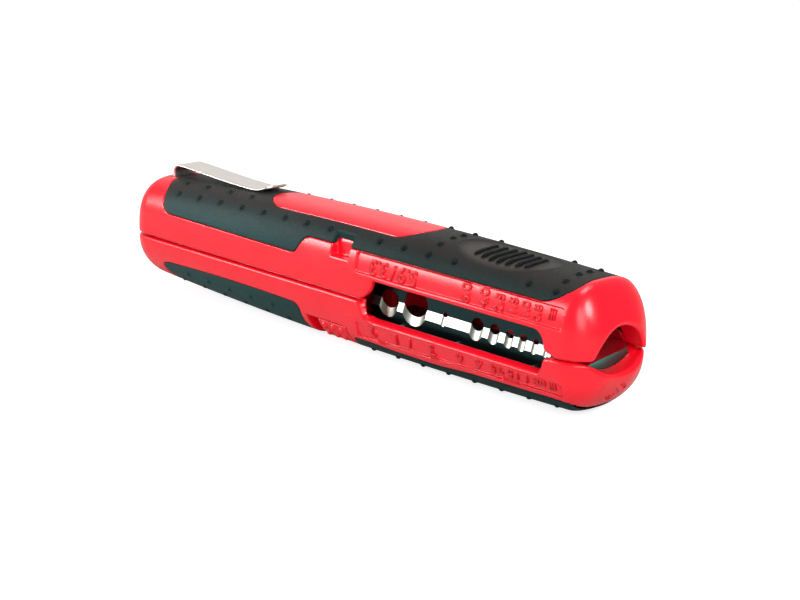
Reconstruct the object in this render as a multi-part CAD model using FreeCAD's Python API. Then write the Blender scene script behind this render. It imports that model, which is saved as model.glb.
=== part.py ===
import FreeCAD, Part
import math
import os

# Pen-shaped cable and wire stripper: two hinged half shells with a blade window in
# the -Y side, a cable mouth at the front, a lock slider underneath and a pocket clip.
# Millimetres.  Tool axis +X towards the mouth, +Z up.  The shapes are drawn in a
# working frame whose x is 0 at the rear end and whose z is 0 on the parting plane,
# then moved so that the origin is at the centre of the underside, on the rest plane.

# ---------------------------------------------------------------- driving dimensions
LENGTH = 125.0                 # overall length of the body
HALF_W, HALF_W_SLOPE = 9.17, -0.22    # half width at mid length, change towards the front
PLAN_R, PLAN_EXP = 6.73, 2.2   # end rounding seen from above
END_EXP_REAR, END_EXP_FRONT = 1.97, 1.65    # end rounding seen from the side
# Each half: height at mid length, its change towards the front, its crown, squareness of
# the cross-section, end rounding radii seen from the side, side of the parting plane
UPPER = {"height": 12.74, "slope": 0.70, "crown": 1.52, "squareness": 3.0,
         "rear_r": 6.0, "front_r": 5.1, "sign": 1.0}
LOWER = {"height": 11.08, "slope": 0.88, "crown": 1.74, "squareness": 2.5,
         "rear_r": 8.4, "front_r": 8.0, "sign": -1.0}
REST_Z = -10.8                 # flat underside the tool lies on
WALL = 1.8                     # shell wall
SKIN = 1.0                     # thickness of the soft overmould
ROOT = SKIN + 0.2              # depth below the surface at which inner features end
GAP_UP, GAP_LO = 0.10, -0.32   # facing edges of the two half shells
GAP_X = 5.0                    # behind this x the parting gap widens
ACROSS = (-20, 20)             # y span that clears the whole body
# hinge
PIN_X, PIN_Z, PIN_R, PIN_HALF = 6.0, -0.15, 1.5, 5.6
KNUCKLE_R, KNUCKLE_HALF = 2.8, 3.0
LUG_IN, LUG_OUT = 3.2, PIN_HALF
PIN_RUN = 0.05                 # running clearance of the upper knuckle on the pin
LUG_RUN = 0.15                 # room round the lugs of the lower shell
# opening spring between the half shells, and its seats
SPRING_X, SPRING_R, SPRING_WIRE, SPRING_TURNS = 18.0, 3.0, 0.35, 6
SPRING_Z0, SPRING_Z1 = -7.2, 9.1
SPIGOT_R, SEAT_R, SEAT_GAP = 2.3, 3.7, 0.02
# blade window
WIN_X0, WIN_X1, WIN_TOP, WIN_BOT = 73.6, 114.8, 3.8, -2.95
WIN_Y = (-12, -4.0)            # y span of the cut
# strip blades, their holders and screws
BLADE_T, BLADE_Y0 = 0.55, -5.40
BLADE_X0, BLADE_X1 = 69.4, 113.2
BLADE_GAP = 0.06
UP_BLADE_Y0 = BLADE_Y0 + BLADE_T + BLADE_GAP
BEVEL_DROP = 1.58
UP_LAND = -0.15                # cutting edge of the upper blade, past the lower one
HOLDER_X0, HOLDER_X1, HOLDER_Y1 = 71.0, 112.6, 3.2
LO_HOLDER_Z, UP_HOLDER_Z = (-7.4, -3.0), (3.4, 7.2)
HOLDER_FIT = 0.15              # clearance of the holders inside the wall
SCREW_XS = (77.5, 91.5, 109.5)
SCREW_LO_Z, SCREW_UP_Z = -5.3, 5.3
SCREW_R, SCREW_LENGTH, SCREW_HEAD_R, SCREW_HEAD_H = 0.9, 4.6, 1.5, 0.7
# mouth for the round cable
MOUTH_R_UP, MOUTH_Z_UP = 5.75, -0.35
MOUTH_R_LO, MOUTH_Z_LO = 8.7, 6.0
MOUTH_X = (112.0, 128)
# cable blades across the mouth, and their screws
CABLE_BLADE_T, CABLE_BLADE_HALF = 0.8, 5.2
LO_CABLE_X1 = 120.4
LO_CABLE_X0 = LO_CABLE_X1 - CABLE_BLADE_T
UP_CABLE_X1 = LO_CABLE_X0 - 0.15
UP_CABLE_X0 = UP_CABLE_X1 - CABLE_BLADE_T
LO_CABLE_BOT, UP_CABLE_TOP = -7.0, 8.2
CABLE_EDGE_Z, CABLE_EDGE_RISE = -1.57, 1.45
CABLE_FIT = 0.02               # room round the cable blades in the shells
CABLE_SCREW_YS = (-3.0, 3.0)
CABLE_SCREW_LO_Z, CABLE_SCREW_UP_Z = -5.2, 6.6
CABLE_SCREW_R, CABLE_SCREW_LENGTH = 0.7, 2.6
CABLE_HEAD_R, CABLE_HEAD_H = 1.1, 0.5
# lock slider
SLOT_X0, SLOT_X1, SLOT_TOP = 54.7, 65.7, -6.2
SLIDER_X0, SLIDER_X1, SLIDER_T = 57.9, 65.5, 1.6
GROOVE_D, NECK_WALL = 1.9, 1.5     # groove the slider runs in, and the wall inside it
ARM_Y0, ARM_Y1, ARM_FIT = 3.5, 4.9, 0.25
ARM_SPANS = ((-ARM_Y1, -ARM_Y0), (ARM_Y0, ARM_Y1))
ARM_TOP, LIP_Z = 2.4, 1.2
# notch in each side of the upper half
NOTCH_X0, NOTCH_X1, NOTCH_Y, NOTCH_FLOOR = 62.0, 66.8, 6.9, 6.3
# pocket clip
CLIP_T, CLIP_HALF_W = 0.45, 2.75


# ---------------------------------------------------------------- solids
def box(x0, x1, y0, y1, z0, z1):
    return Part.makeBox(x1 - x0, y1 - y0, z1 - z0, FreeCAD.Vector(x0, y0, z0))


def pulled(points, run):
    """Closed polygon through 3D points, pulled along the vector run."""
    vectors = [FreeCAD.Vector(*p) for p in points]
    return Part.Face(Part.makePolygon(vectors + [vectors[0]])).extrude(FreeCAD.Vector(*run))


def prism_xz(points, y0, y1):
    return pulled([(x, y0, z) for x, z in points], (0, y1 - y0, 0))


def prism_xy(points, z0, z1):
    return pulled([(x, y, z0) for x, y in points], (0, 0, z1 - z0))


def prism_yz(points, x0, x1):
    return pulled([(x0, y, z) for y, z in points], (x1 - x0, 0, 0))


def cyl_y(x, z, r, y0, y1):
    return Part.makeCylinder(r, y1 - y0, FreeCAD.Vector(x, y0, z), FreeCAD.Vector(0, 1, 0))


def cyl_x(y, z, r, x0, x1):
    return Part.makeCylinder(r, x1 - x0, FreeCAD.Vector(x0, y, z), FreeCAD.Vector(1, 0, 0))


def cyl_z(x, y, r, z0, z1):
    return Part.makeCylinder(r, z1 - z0, FreeCAD.Vector(x, y, z0), FreeCAD.Vector(0, 0, 1))


def arc_points(cx, cy, r, start, stop, steps):
    """Points on an arc, angles in degrees."""
    angles = [math.radians(start + (stop - start) * k / steps) for k in range(steps + 1)]
    return [(cx + r * math.cos(a), cy + r * math.sin(a)) for a in angles]


def both_sides(shape):
    """The shape together with its mirror image in y."""
    return shape.fuse(shape.mirror(FreeCAD.Vector(0, 0, 0), FreeCAD.Vector(0, 1, 0)))


# ---------------------------------------------------------------- body shape
def rounding(distance, r, exponent):
    """Rounding factor at a distance from an end: 0 at the end, 1 beyond r."""
    if distance >= r:
        return 1.0
    distance = max(distance, 0.0)
    return (1 - (1 - distance / r) ** exponent) ** (1 / exponent)


def both_ends(x, off, rear_r, front_r, rear_exp, front_exp):
    return (rounding(x - off, rear_r - 0.6 * off, rear_exp)
            * rounding(LENGTH - off - x, front_r - 0.6 * off, front_exp))


def half_width(x, off=0.0):
    t = (x - LENGTH / 2) / (LENGTH / 2)
    ends = both_ends(x, off, PLAN_R, PLAN_R, PLAN_EXP, PLAN_EXP)
    return (HALF_W + HALF_W_SLOPE * t - off) * ends


def height(x, half, off=0.0):
    t = (x - LENGTH / 2) / (LENGTH / 2)
    full = half["height"] + half["slope"] * t - half["crown"] * t * t
    ends = both_ends(x, off, half["rear_r"], half["front_r"], END_EXP_REAR, END_EXP_FRONT)
    return (full - off) * ends


def stations(off):
    """x positions of the sections, crowded at the rounded ends."""
    zone = 8.6                 # length of the crowded zone
    steps = [zone * (1 - math.cos(k / 6.0 * math.pi / 2)) for k in range(6)]
    steps[0] = 0.02            # the end sections keep a small size
    ends = [off + step for step in steps]
    middle = [off + zone + (LENGTH - 2 * off - 2 * zone) * k / 3.0 for k in range(4)]
    return ends + middle + [LENGTH - x for x in reversed(ends)]


def section(x, half, off):
    """Superellipse arch closed by straight sides past the parting plane."""
    w, h = half_width(x, off), height(x, half, off)
    power = 2 / half["squareness"]
    steps = 12
    points = []
    for k in range(steps + 1):
        angle = math.pi * k / steps
        c, s = math.cos(angle), math.sin(angle)
        y = -w * math.copysign(abs(c) ** power, c)
        z = 0.0 if k in (0, steps) else half["sign"] * h * abs(s) ** power
        points.append(FreeCAD.Vector(x, y, z))
    arch = Part.BSplineCurve()
    arch.interpolate(points)
    past = -half["sign"] * 1.5
    corner0 = FreeCAD.Vector(x, -w, past)
    corner1 = FreeCAD.Vector(x, w, past)
    return Part.Wire([arch.toShape(), Part.makeLine(points[-1], corner1),
                      Part.makeLine(corner1, corner0), Part.makeLine(corner0, points[0])])


def half_body(half, off=0.0):
    """Solid half body, its surface moved in by off."""
    solid = Part.makeLoft([section(x, half, off) for x in stations(off)], True, False)
    if half is LOWER:
        # the underside is flattened to lie on a bench
        solid = solid.cut(box(-5, LENGTH + 5, *ACROSS, -40, REST_Z + off))
    return solid


def parting(gap, rear_gap, far_z):
    """Everything from a facing edge out to far_z, the edge sloping at the rear."""
    return prism_xz([(-2, rear_gap), (GAP_X, gap), (LENGTH + 2, gap),
                     (LENGTH + 2, far_z), (-2, far_z)], *ACROSS)


up_outer = half_body(UPPER)
up_inner = half_body(UPPER, WALL)
up_root = half_body(UPPER, ROOT)
up_ring = up_outer.cut(half_body(UPPER, SKIN))
lo_outer = half_body(LOWER)
lo_inner = half_body(LOWER, WALL)
lo_root = half_body(LOWER, ROOT)
lo_ring = lo_outer.cut(half_body(LOWER, SKIN))

# ---------------------------------------------------------------- soft grips
# Outlines of the grips seen from the side, x and z
UP_GRIP_SIDE = [
    (6, 5.4), (50.4, 5.4), (51.4, 4.95), (52.2, 5.05), (53.2, 6.0), (54.0, 7.4),
    (55.0, 8.3), (57, 8.45), (115, 8.45), (121, 8.45), (121, 20), (6, 20)]
REAR_GRIP_SIDE = [
    (8.6, -5.2), (11.6, -4.55), (14, -4.35), (30, -4.05), (50.4, -4.3), (52.2, -4.7),
    (53.1, -5.6), (53.1, -7.0), (52.4, -9.2), (52.2, -12), (8.6, -12)]
FRONT_GRIP_SIDE = [
    (67.2, -12), (66.6, -10.0), (66.3, -8.9), (67.2, -8.15), (70, -8.0), (78, -8.3),
    (88, -8.35), (96, -7.8), (112, -7.55), (115.6, -7.7), (117.2, -8.7), (117.6, -12)]
REAR_GRIP_X1, FRONT_GRIP_X0 = 53.4, 66.0
LO_REAR_SETBACK, LO_FRONT_SETBACK = 2.2, 1.6     # lower grips end this far inside the upper
# long opening in the top of the upper grip: ends, half width, end lengths
PILL_X0, PILL_X1, PILL_HALF, PILL_REAR, PILL_FRONT = 37.8, 80.1, 5.5, 7.0, 5.0
PILL_Z0 = 8.6
GRIP_YS = [-10 + k for k in range(21)]


def rear_edge(y):
    return 8.0 + math.sqrt((0.55 * y) ** 2 + 0.35 ** 2)


def front_edge(y):
    side = abs(y)
    return 119.2 - (0.0 if side < 4.6 else 0.42 * (side - 4.6) ** 1.5)


def pill():
    """Slot with half-elliptical ends."""
    points = []
    for x, reach, start in ((PILL_X0 + PILL_REAR, PILL_REAR, math.pi / 2),
                            (PILL_X1 - PILL_FRONT, PILL_FRONT, -math.pi / 2)):
        for k in range(13):
            angle = start + math.pi * k / 12
            points.append((x + reach * math.cos(angle), PILL_HALF * math.sin(angle)))
    return prism_xy(points, PILL_Z0, 30)


def make_upper_pocket():
    plan = [(rear_edge(y), y) for y in GRIP_YS] + [(front_edge(y), y) for y in reversed(GRIP_YS)]
    region = prism_xz(UP_GRIP_SIDE, *ACROSS).common(prism_xy(plan, 0, 30)).cut(pill())
    return up_ring.common(region)


def make_lower_grip(side, plan):
    return lo_ring.common(prism_xz(side, *ACROSS)).common(prism_xy(plan, -20, 0))


notch_cut = both_sides(box(NOTCH_X0, NOTCH_X1, -12, -NOTCH_Y, NOTCH_FLOOR, 20))
upper_pocket = make_upper_pocket()
upper_grip = upper_pocket.cut(notch_cut)
lower_grip_rear = make_lower_grip(
    REAR_GRIP_SIDE, [(rear_edge(y) + LO_REAR_SETBACK, y) for y in GRIP_YS]
    + [(REAR_GRIP_X1, 10), (REAR_GRIP_X1, -10)])
lower_grip_front = make_lower_grip(
    FRONT_GRIP_SIDE, [(FRONT_GRIP_X0, -10), (FRONT_GRIP_X0, 10)]
    + [(front_edge(y) - LO_FRONT_SETBACK, y) for y in reversed(GRIP_YS)])

# ---------------------------------------------------------------- window and mouth
# Window outline, x and z, from the rear edge over the top and back along the bottom
WINDOW = (
    [(72.4, 0.6), (73.2, 1.9), (73.55, 2.7), (WIN_X0, WIN_TOP), (112.4, WIN_TOP)]
    + arc_points(WIN_X1 - 2.4, WIN_TOP - 2.4, 2.4, 80, 10, 4)
    + [(115.2, 0.0), (114.9, -0.7), (114.6, -1.4), (114.4, -2.2), (113.9, -2.75),
       (112.9, WIN_BOT), (73.6, WIN_BOT), (72.4, -2.8), (71.7, -2.3), (71.5, -1.6),
       (71.5, -0.3)])
# Slope of the window's lower edge down to the outside, y and z
SCOOP = [(-10.5, WIN_BOT - 1.6), (-10.5, -1.0), (-7.0, -1.0), (-7.0, WIN_BOT),
         (-9.2, WIN_BOT - 0.9)]
# Rear corner of the window in each shell, x and z
LO_CORNER = [(70.4, -0.2), (72.2, 1.2), (75.5, 1.2), (75.5, -2.9), (72.0, -2.5),
             (71.3, -1.6), (71.0, -0.8)]
UP_CORNER = [(70.6, 0.0), (71.8, 0.5), (72.7, 1.3), (73.3, 2.4), (76, 2.4), (76, -1),
             (70.6, -1)]

window_cut = prism_xz(WINDOW, *WIN_Y)
relief = box(70.4, 76.0, -8.1, -4.0, -2.9, WIN_TOP)      # thinner wall beside the first notch
mouth_up = cyl_x(0, MOUTH_Z_UP, MOUTH_R_UP, *MOUTH_X)
mouth_lo = cyl_x(0, MOUTH_Z_LO, MOUTH_R_LO, *MOUTH_X)


def cable_screw_hole(y, z, blade_front):
    return cyl_x(y, z, CABLE_SCREW_R, blade_front - CABLE_SCREW_LENGTH, blade_front + 0.01)


def cut_cable_screws(shell, z, blade_front):
    """Screw holes, and room for the heads in front of the blade."""
    for y in CABLE_SCREW_YS:
        shell = shell.cut(cable_screw_hole(y, z, blade_front))
        shell = shell.cut(cyl_x(y, z, CABLE_HEAD_R + 0.15, blade_front,
                                blade_front + CABLE_HEAD_H + 0.2))
    return shell


# ---------------------------------------------------------------- upper shell
def make_upper_shell():
    body = up_outer.common(parting(GAP_UP, GAP_UP + 0.14, 30))
    body = body.cut(up_inner.common(box(0, 118.2, *ACROSS, -5, 30)))
    body = body.cut(upper_pocket)

    notch_x = (NOTCH_X0 - 1.4, NOTCH_X1 + 1.4)
    notch_z = (NOTCH_FLOOR - 1.3, 12)
    pad_y = (-3.4, 5.8)
    ribs = [
        # hinge knuckle web
        box(PIN_X - KNUCKLE_R, PIN_X + KNUCKLE_R, -KNUCKLE_HALF, KNUCKLE_HALF, PIN_Z, 11),
        # stiffening ribs
        box(26, 28, -7, 7, 2.0, 12),
        box(50.5, 52.3, -7, 7, 2.0, 12),
        # walls of the side notches
        box(*notch_x, -8.3, -NOTCH_Y + 1.2, *notch_z),
        box(*notch_x, NOTCH_Y - 1.2, 8.3, *notch_z),
        # pads the blade holder bolts to
        box(76, 79, *pad_y, UP_HOLDER_Z[1], 12),
        box(108, 111, *pad_y, UP_HOLDER_Z[1], 12)]
    # catches for the lock: uprights, then feet pointing forwards
    ribs += [box(55.4, 57.2, *span, -0.2, 12) for span in ARM_SPANS]
    ribs += [box(57.1, 59.7, *span, -0.2, 1.0) for span in ARM_SPANS]
    # spring spigot and seat
    ribs += [cyl_z(SPRING_X, 0, SPIGOT_R, 6.6, 11.5),
             cyl_z(SPRING_X, 0, SEAT_R, SPRING_Z1 + SEAT_GAP, 11.5)]
    for rib in ribs:
        body = body.fuse(rib.common(up_root))

    # knuckle, its bore and room for the lugs
    body = body.fuse(cyl_y(PIN_X, PIN_Z, KNUCKLE_R, -KNUCKLE_HALF, KNUCKLE_HALF))
    body = body.cut(cyl_y(PIN_X, PIN_Z, PIN_R + PIN_RUN, -PIN_HALF - 0.1, PIN_HALF + 0.1))
    body = body.cut(both_sides(cyl_y(PIN_X, PIN_Z, KNUCKLE_R + LUG_RUN,
                                     -LUG_OUT - LUG_RUN, -LUG_IN + 0.1)))
    for cutter in (notch_cut, window_cut, prism_xz(UP_CORNER, *WIN_Y), relief, mouth_up):
        body = body.cut(cutter)
    # slot for the foot of the clip
    body = body.cut(box(6.9, 8.4, -CLIP_HALF_W - 0.25, CLIP_HALF_W + 0.25, 7.9, 16))

    # seat, slot and screw holes of the cable blade
    seat = box(UP_CABLE_X0 - 2.2, UP_CABLE_X0, -4.4, 4.4, 4.6, 11.5).common(up_root)
    slot_half = CABLE_BLADE_HALF + CABLE_FIT
    body = body.fuse(seat)
    body = body.cut(box(UP_CABLE_X0, UP_CABLE_X1 + CABLE_FIT, -slot_half, slot_half,
                        -1, UP_CABLE_TOP + CABLE_FIT))
    body = body.cut(mouth_up.common(box(UP_CABLE_X1, 130, *ACROSS, -20, 20)))
    return cut_cable_screws(body, CABLE_SCREW_UP_Z, UP_CABLE_X1)


# ---------------------------------------------------------------- lower shell
def make_lower_shell():
    body = lo_outer.common(parting(GAP_LO, GAP_LO - 0.26, -30))
    # cavity, drawn in to a neck above the slider groove
    neck = half_body(LOWER, GROOVE_D + NECK_WALL)
    cavity = lo_inner.common(box(0, SLOT_X0 - WALL, *ACROSS, -30, 5))
    cavity = cavity.fuse(neck.common(box(SLOT_X0 - 2, SLOT_X1 + 2, *ACROSS, -30, 5)))
    cavity = cavity.fuse(lo_inner.common(box(SLOT_X1 + WALL, 118.6, *ACROSS, -30, 5)))
    body = body.cut(cavity)
    body = body.cut(lower_grip_rear).cut(lower_grip_front)
    groove = box(SLOT_X0, SLOT_X1, *ACROSS, -30, SLOT_TOP)
    body = body.cut(groove.cut(half_body(LOWER, GROOVE_D)))

    # hinge lugs
    for span in ((LUG_IN, LUG_OUT), (-LUG_OUT, -LUG_IN)):
        web = box(PIN_X - KNUCKLE_R, PIN_X + KNUCKLE_R, *span, -9.5, PIN_Z)
        body = body.fuse(web.common(lo_root))
        body = body.fuse(cyl_y(PIN_X, PIN_Z, KNUCKLE_R, *span))
    pad_y = (-3.4, 5.6)
    ribs = [
        # stiffening ribs
        box(27, 28.6, -7, 7, -9.5, -3.0),
        box(46, 47.6, -7, 7, -9.5, -3.0),
        # spring spigot and seat
        cyl_z(SPRING_X, 0, SPIGOT_R, -9.4, -5.0),
        cyl_z(SPRING_X, 0, SEAT_R, -9.4, SPRING_Z0 - SEAT_GAP),
        # pads the blade holder bolts to
        box(76, 79, *pad_y, -9.5, LO_HOLDER_Z[0]),
        box(108, 111, *pad_y, -9.5, LO_HOLDER_Z[0])]
    for rib in ribs:
        body = body.fuse(rib.common(lo_root))
    body = body.cut(cyl_y(PIN_X, PIN_Z, PIN_R, -PIN_HALF - 0.1, PIN_HALF + 0.1))

    # slots for the slider arms and a pocket for the detent spring
    body = body.cut(both_sides(box(59.7, 65.2, ARM_Y0 - ARM_FIT, ARM_Y1 + ARM_FIT, -12, -5.0)))
    groove_floor = REST_Z + GROOVE_D
    body = body.cut(box(56.4, 63.9, -1.5, 1.5, groove_floor - 0.2, groove_floor + 0.7))
    # room for the blade and its screw heads
    body = body.cut(box(BLADE_X0 - 0.3, BLADE_X1 + 0.3, -6.75, -3.6, -7.0, 2.0))
    for cutter in (window_cut, prism_yz(SCOOP, 73.2, 113.9), prism_xz(LO_CORNER, *WIN_Y),
                   relief, mouth_lo):
        body = body.cut(cutter)

    # seat, slot and screw holes of the cable blade
    seat = box(LO_CABLE_X0 - 2.4, LO_CABLE_X0, -4.4, 4.4, -9.5, -3.2).common(lo_root)
    slot_half = CABLE_BLADE_HALF + CABLE_FIT
    body = body.fuse(seat.cut(mouth_lo))
    body = body.cut(box(LO_CABLE_X0, LO_CABLE_X1 + CABLE_FIT, -slot_half, slot_half,
                        LO_CABLE_BOT - CABLE_FIT, 2))
    return cut_cable_screws(body, CABLE_SCREW_LO_Z, LO_CABLE_X1)


# ---------------------------------------------------------------- lock slider
BUMP_XS, BUMP_ZS = (59.3, 61.7, 64.0), (-7.35, -8.8)
BUMP_R, BUMP_SINK = 0.62, 0.2


def make_lock_slider():
    slider = lo_outer.cut(half_body(LOWER, SLIDER_T))
    slider = slider.common(box(SLIDER_X0, SLIDER_X1, *ACROSS, -30, SLOT_TOP - 0.15))
    # the slider never touches the bench
    slider = slider.cut(box(0, LENGTH, *ACROSS, -20, REST_Z + 0.3))
    # arms reaching up into the upper shell, each with a lip pointing to the rear
    post_limit = half_body(LOWER, 0.8).fuse(box(60, 66, -8, 8, -3, 5))
    for span in ARM_SPANS:
        slider = slider.fuse(box(62.9, 64.9, *span, REST_Z + 0.9, ARM_TOP).common(post_limit))
        slider = slider.fuse(box(60.4, 63.0, *span, LIP_Z, ARM_TOP))
    # round bumps on both flanks
    n = LOWER["squareness"]
    for side in (-1, 1):
        for z in BUMP_ZS:
            for x in BUMP_XS:
                y = half_width(x) * (1 - (abs(z) / height(x, LOWER)) ** n) ** (1 / n)
                centre = FreeCAD.Vector(x, side * (y - BUMP_SINK), z)
                slider = slider.fuse(Part.makeSphere(BUMP_R, centre))
    return slider


# Bent leaf: x and height above the floor of the slider groove
LEAF = [(56.8, 0.60), (58.6, 0.60), (60.2, 0.02), (61.8, 0.60), (63.6, 0.60),
        (63.6, 0.35), (61.9, 0.35), (60.2, -0.24), (58.5, 0.35), (56.8, 0.35)]


def make_detent_spring():
    return prism_xz([(x, REST_Z + GROOVE_D + z) for x, z in LEAF], -1.2, 1.2)


# ---------------------------------------------------------------- opening spring
def make_opening_spring():
    rise = SPRING_Z1 - SPRING_Z0 - 2 * SPRING_WIRE
    helix = Part.makeHelix(rise / SPRING_TURNS, rise, SPRING_R)
    wire_section = Part.Circle(FreeCAD.Vector(SPRING_R, 0, 0), FreeCAD.Vector(0, 1, 0.05),
                               SPRING_WIRE)
    coil = Part.Wire(helix.Edges).makePipeShell([Part.Wire([wire_section.toShape()])], True, True)
    coil.translate(FreeCAD.Vector(SPRING_X, 0, SPRING_Z0 + SPRING_WIRE))
    return coil


# ---------------------------------------------------------------- strip blades
# x, lower radius and centre height, upper radius and centre height
NOTCHES = [
    (73.76, 2.45, 0.97, 2.31, -0.53), (80.37, 3.24, 1.45, 3.00, 0.45),
    (87.77, 0.72, 0.44, 0.57, 0.00), (95.68, 1.64, 0.67, 1.51, -0.23),
    (99.82, 1.36, 0.65, 1.20, -0.07), (103.40, 1.08, 0.51, 0.96, -0.04),
    (106.50, 0.98, 0.54, 0.82, 0.00), (109.35, 0.83, 0.55, 0.65, 0.04),
    (111.98, 0.57, 0.35, 0.50, 0.05)]


def blade_profile(upper):
    """Cutting edge as points in x and z, lands at z 0 with round notches."""
    points = [(BLADE_X0, 0.0)]
    for x, lower_r, lower_z, upper_r, upper_z in NOTCHES:
        r, z = (upper_r, upper_z - UP_LAND) if upper else (lower_r, lower_z)
        half_chord = math.sqrt(r * r - z * z)
        start = math.degrees(math.atan2(-z, -half_chord))
        stop = math.degrees(math.atan2(-z, half_chord))
        # the arc goes over the top in the upper blade and underneath in the lower
        if upper and start < 0:
            start += 360
        if not upper and start > 0:
            start -= 360
        points += arc_points(x, z, r, start, stop, 14)
    return points + [(BLADE_X1, 0.0)]


def drilled(shape, y_seat, z):
    for x in SCREW_XS:
        shape = shape.cut(cyl_y(x, z, SCREW_R, -8, y_seat + SCREW_LENGTH))
    return shape


def make_strip_blade(upper, y0, land_z, back_z, z_span, screw_z):
    """Blade whose edge is bevelled by pulling the outline obliquely."""
    outline = [(x, y0, z + land_z) for x, z in blade_profile(upper)]
    outline += [(BLADE_X1, y0, back_z), (BLADE_X0, y0, back_z)]
    blade = pulled(outline, (0, BLADE_T, BEVEL_DROP))
    blade = blade.common(box(BLADE_X0, BLADE_X1, y0, y0 + BLADE_T, *z_span))
    return drilled(blade, y0, screw_z)


def make_blade_holder(half, blade_y0, z_span, screw_z):
    block = box(HOLDER_X0, HOLDER_X1, blade_y0 + BLADE_T, HOLDER_Y1, *z_span)
    return drilled(block.common(half_body(half, WALL + HOLDER_FIT)), blade_y0, screw_z)


def make_blade_screws(y_seat, z):
    """Screws along +Y, heads on the blade's outer face, with a cross recess."""
    screws = []
    head_y = y_seat - SCREW_HEAD_H
    recess_y = (head_y - 0.1, head_y + 0.4)
    for x in SCREW_XS:
        screw = cyl_y(x, z, SCREW_HEAD_R, head_y, y_seat)
        screw = screw.fuse(cyl_y(x, z, SCREW_R, y_seat, y_seat + SCREW_LENGTH))
        screw = screw.cut(box(x - 0.9, x + 0.9, *recess_y, z - 0.15, z + 0.15))
        screws.append(screw.cut(box(x - 0.15, x + 0.15, *recess_y, z - 0.9, z + 0.9)))
    return Part.Compound(screws)


# ---------------------------------------------------------------- cable blades
def drill_cable_blade(blade, z, blade_front):
    for y in CABLE_SCREW_YS:
        blade = blade.cut(cable_screw_hole(y, z, blade_front))
    return blade


def make_lower_cable_blade():
    """The cutting edge climbs towards +Y."""
    half = CABLE_BLADE_HALF
    outline = [(LO_CABLE_X0, -9.0), (LO_CABLE_X0, CABLE_EDGE_Z - 0.8),
               (LO_CABLE_X1, CABLE_EDGE_Z), (LO_CABLE_X1, -9.0)]
    blade = pulled([(x, -half, z) for x, z in outline], (0, 2 * half, CABLE_EDGE_RISE))
    blade = blade.common(box(LO_CABLE_X0, LO_CABLE_X1, -half, half, LO_CABLE_BOT, 5))
    return drill_cable_blade(blade, CABLE_SCREW_LO_Z, LO_CABLE_X1)


def make_upper_cable_blade():
    """The edge is hollowed by a round cut."""
    blade = prism_xz([(UP_CABLE_X0, UP_CABLE_TOP), (UP_CABLE_X0, 2.6), (UP_CABLE_X1, 1.8),
                      (UP_CABLE_X1, UP_CABLE_TOP)], -CABLE_BLADE_HALF, CABLE_BLADE_HALF)
    blade = blade.cut(cyl_x(0, -0.2, 5.5, UP_CABLE_X0 - 1, UP_CABLE_X1 + 1))
    return drill_cable_blade(blade, CABLE_SCREW_UP_Z, UP_CABLE_X1)


def make_cable_screws(z, seat):
    """Slotted screws, heads on the front face of the blade."""
    screws = []
    for y in CABLE_SCREW_YS:
        screw = cyl_x(y, z, CABLE_HEAD_R, seat, seat + CABLE_HEAD_H)
        screw = screw.fuse(cyl_x(y, z, CABLE_SCREW_R, seat - CABLE_SCREW_LENGTH, seat))
        screws.append(screw.cut(box(seat + 0.2, seat + 0.6, y - 0.7, y + 0.7,
                                    z - 0.12, z + 0.12)))
    return Part.Compound(screws)


# ---------------------------------------------------------------- pocket clip
# Outer line of the clip, x and z: foot, bend, then the tongue to its turned-up tip
CLIP_FOOT = [(7.15, 8.4), (7.15, 11.6)]
BEND_X, BEND_Z, BEND_R, BEND_ANGLES = 9.0, 11.65, 1.85, (165, 140, 115, 93)
CLIP_TONGUE = [
    (13.7, 13.33), (17.5, 13.10), (21.8, 12.86), (26.0, 12.68), (30.6, 12.56),
    (32.6, 12.55), (33.6, 12.66), (34.6, 12.95), (36.6, 13.62)]


def make_pocket_clip():
    bend = [(BEND_X + BEND_R * math.cos(math.radians(a)),
             BEND_Z + BEND_R * math.sin(math.radians(a))) for a in BEND_ANGLES]
    outer = CLIP_FOOT + bend + CLIP_TONGUE
    inner = []
    for i, (x, z) in enumerate(outer):
        x0, z0 = outer[max(i - 1, 0)]
        x1, z1 = outer[min(i + 1, len(outer) - 1)]
        dx, dz = x1 - x0, z1 - z0
        run = math.hypot(dx, dz)
        inner.append((x + dz / run * CLIP_T, z - dx / run * CLIP_T))
    return prism_xz(outer + inner[::-1], -CLIP_HALF_W, CLIP_HALF_W)


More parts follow.
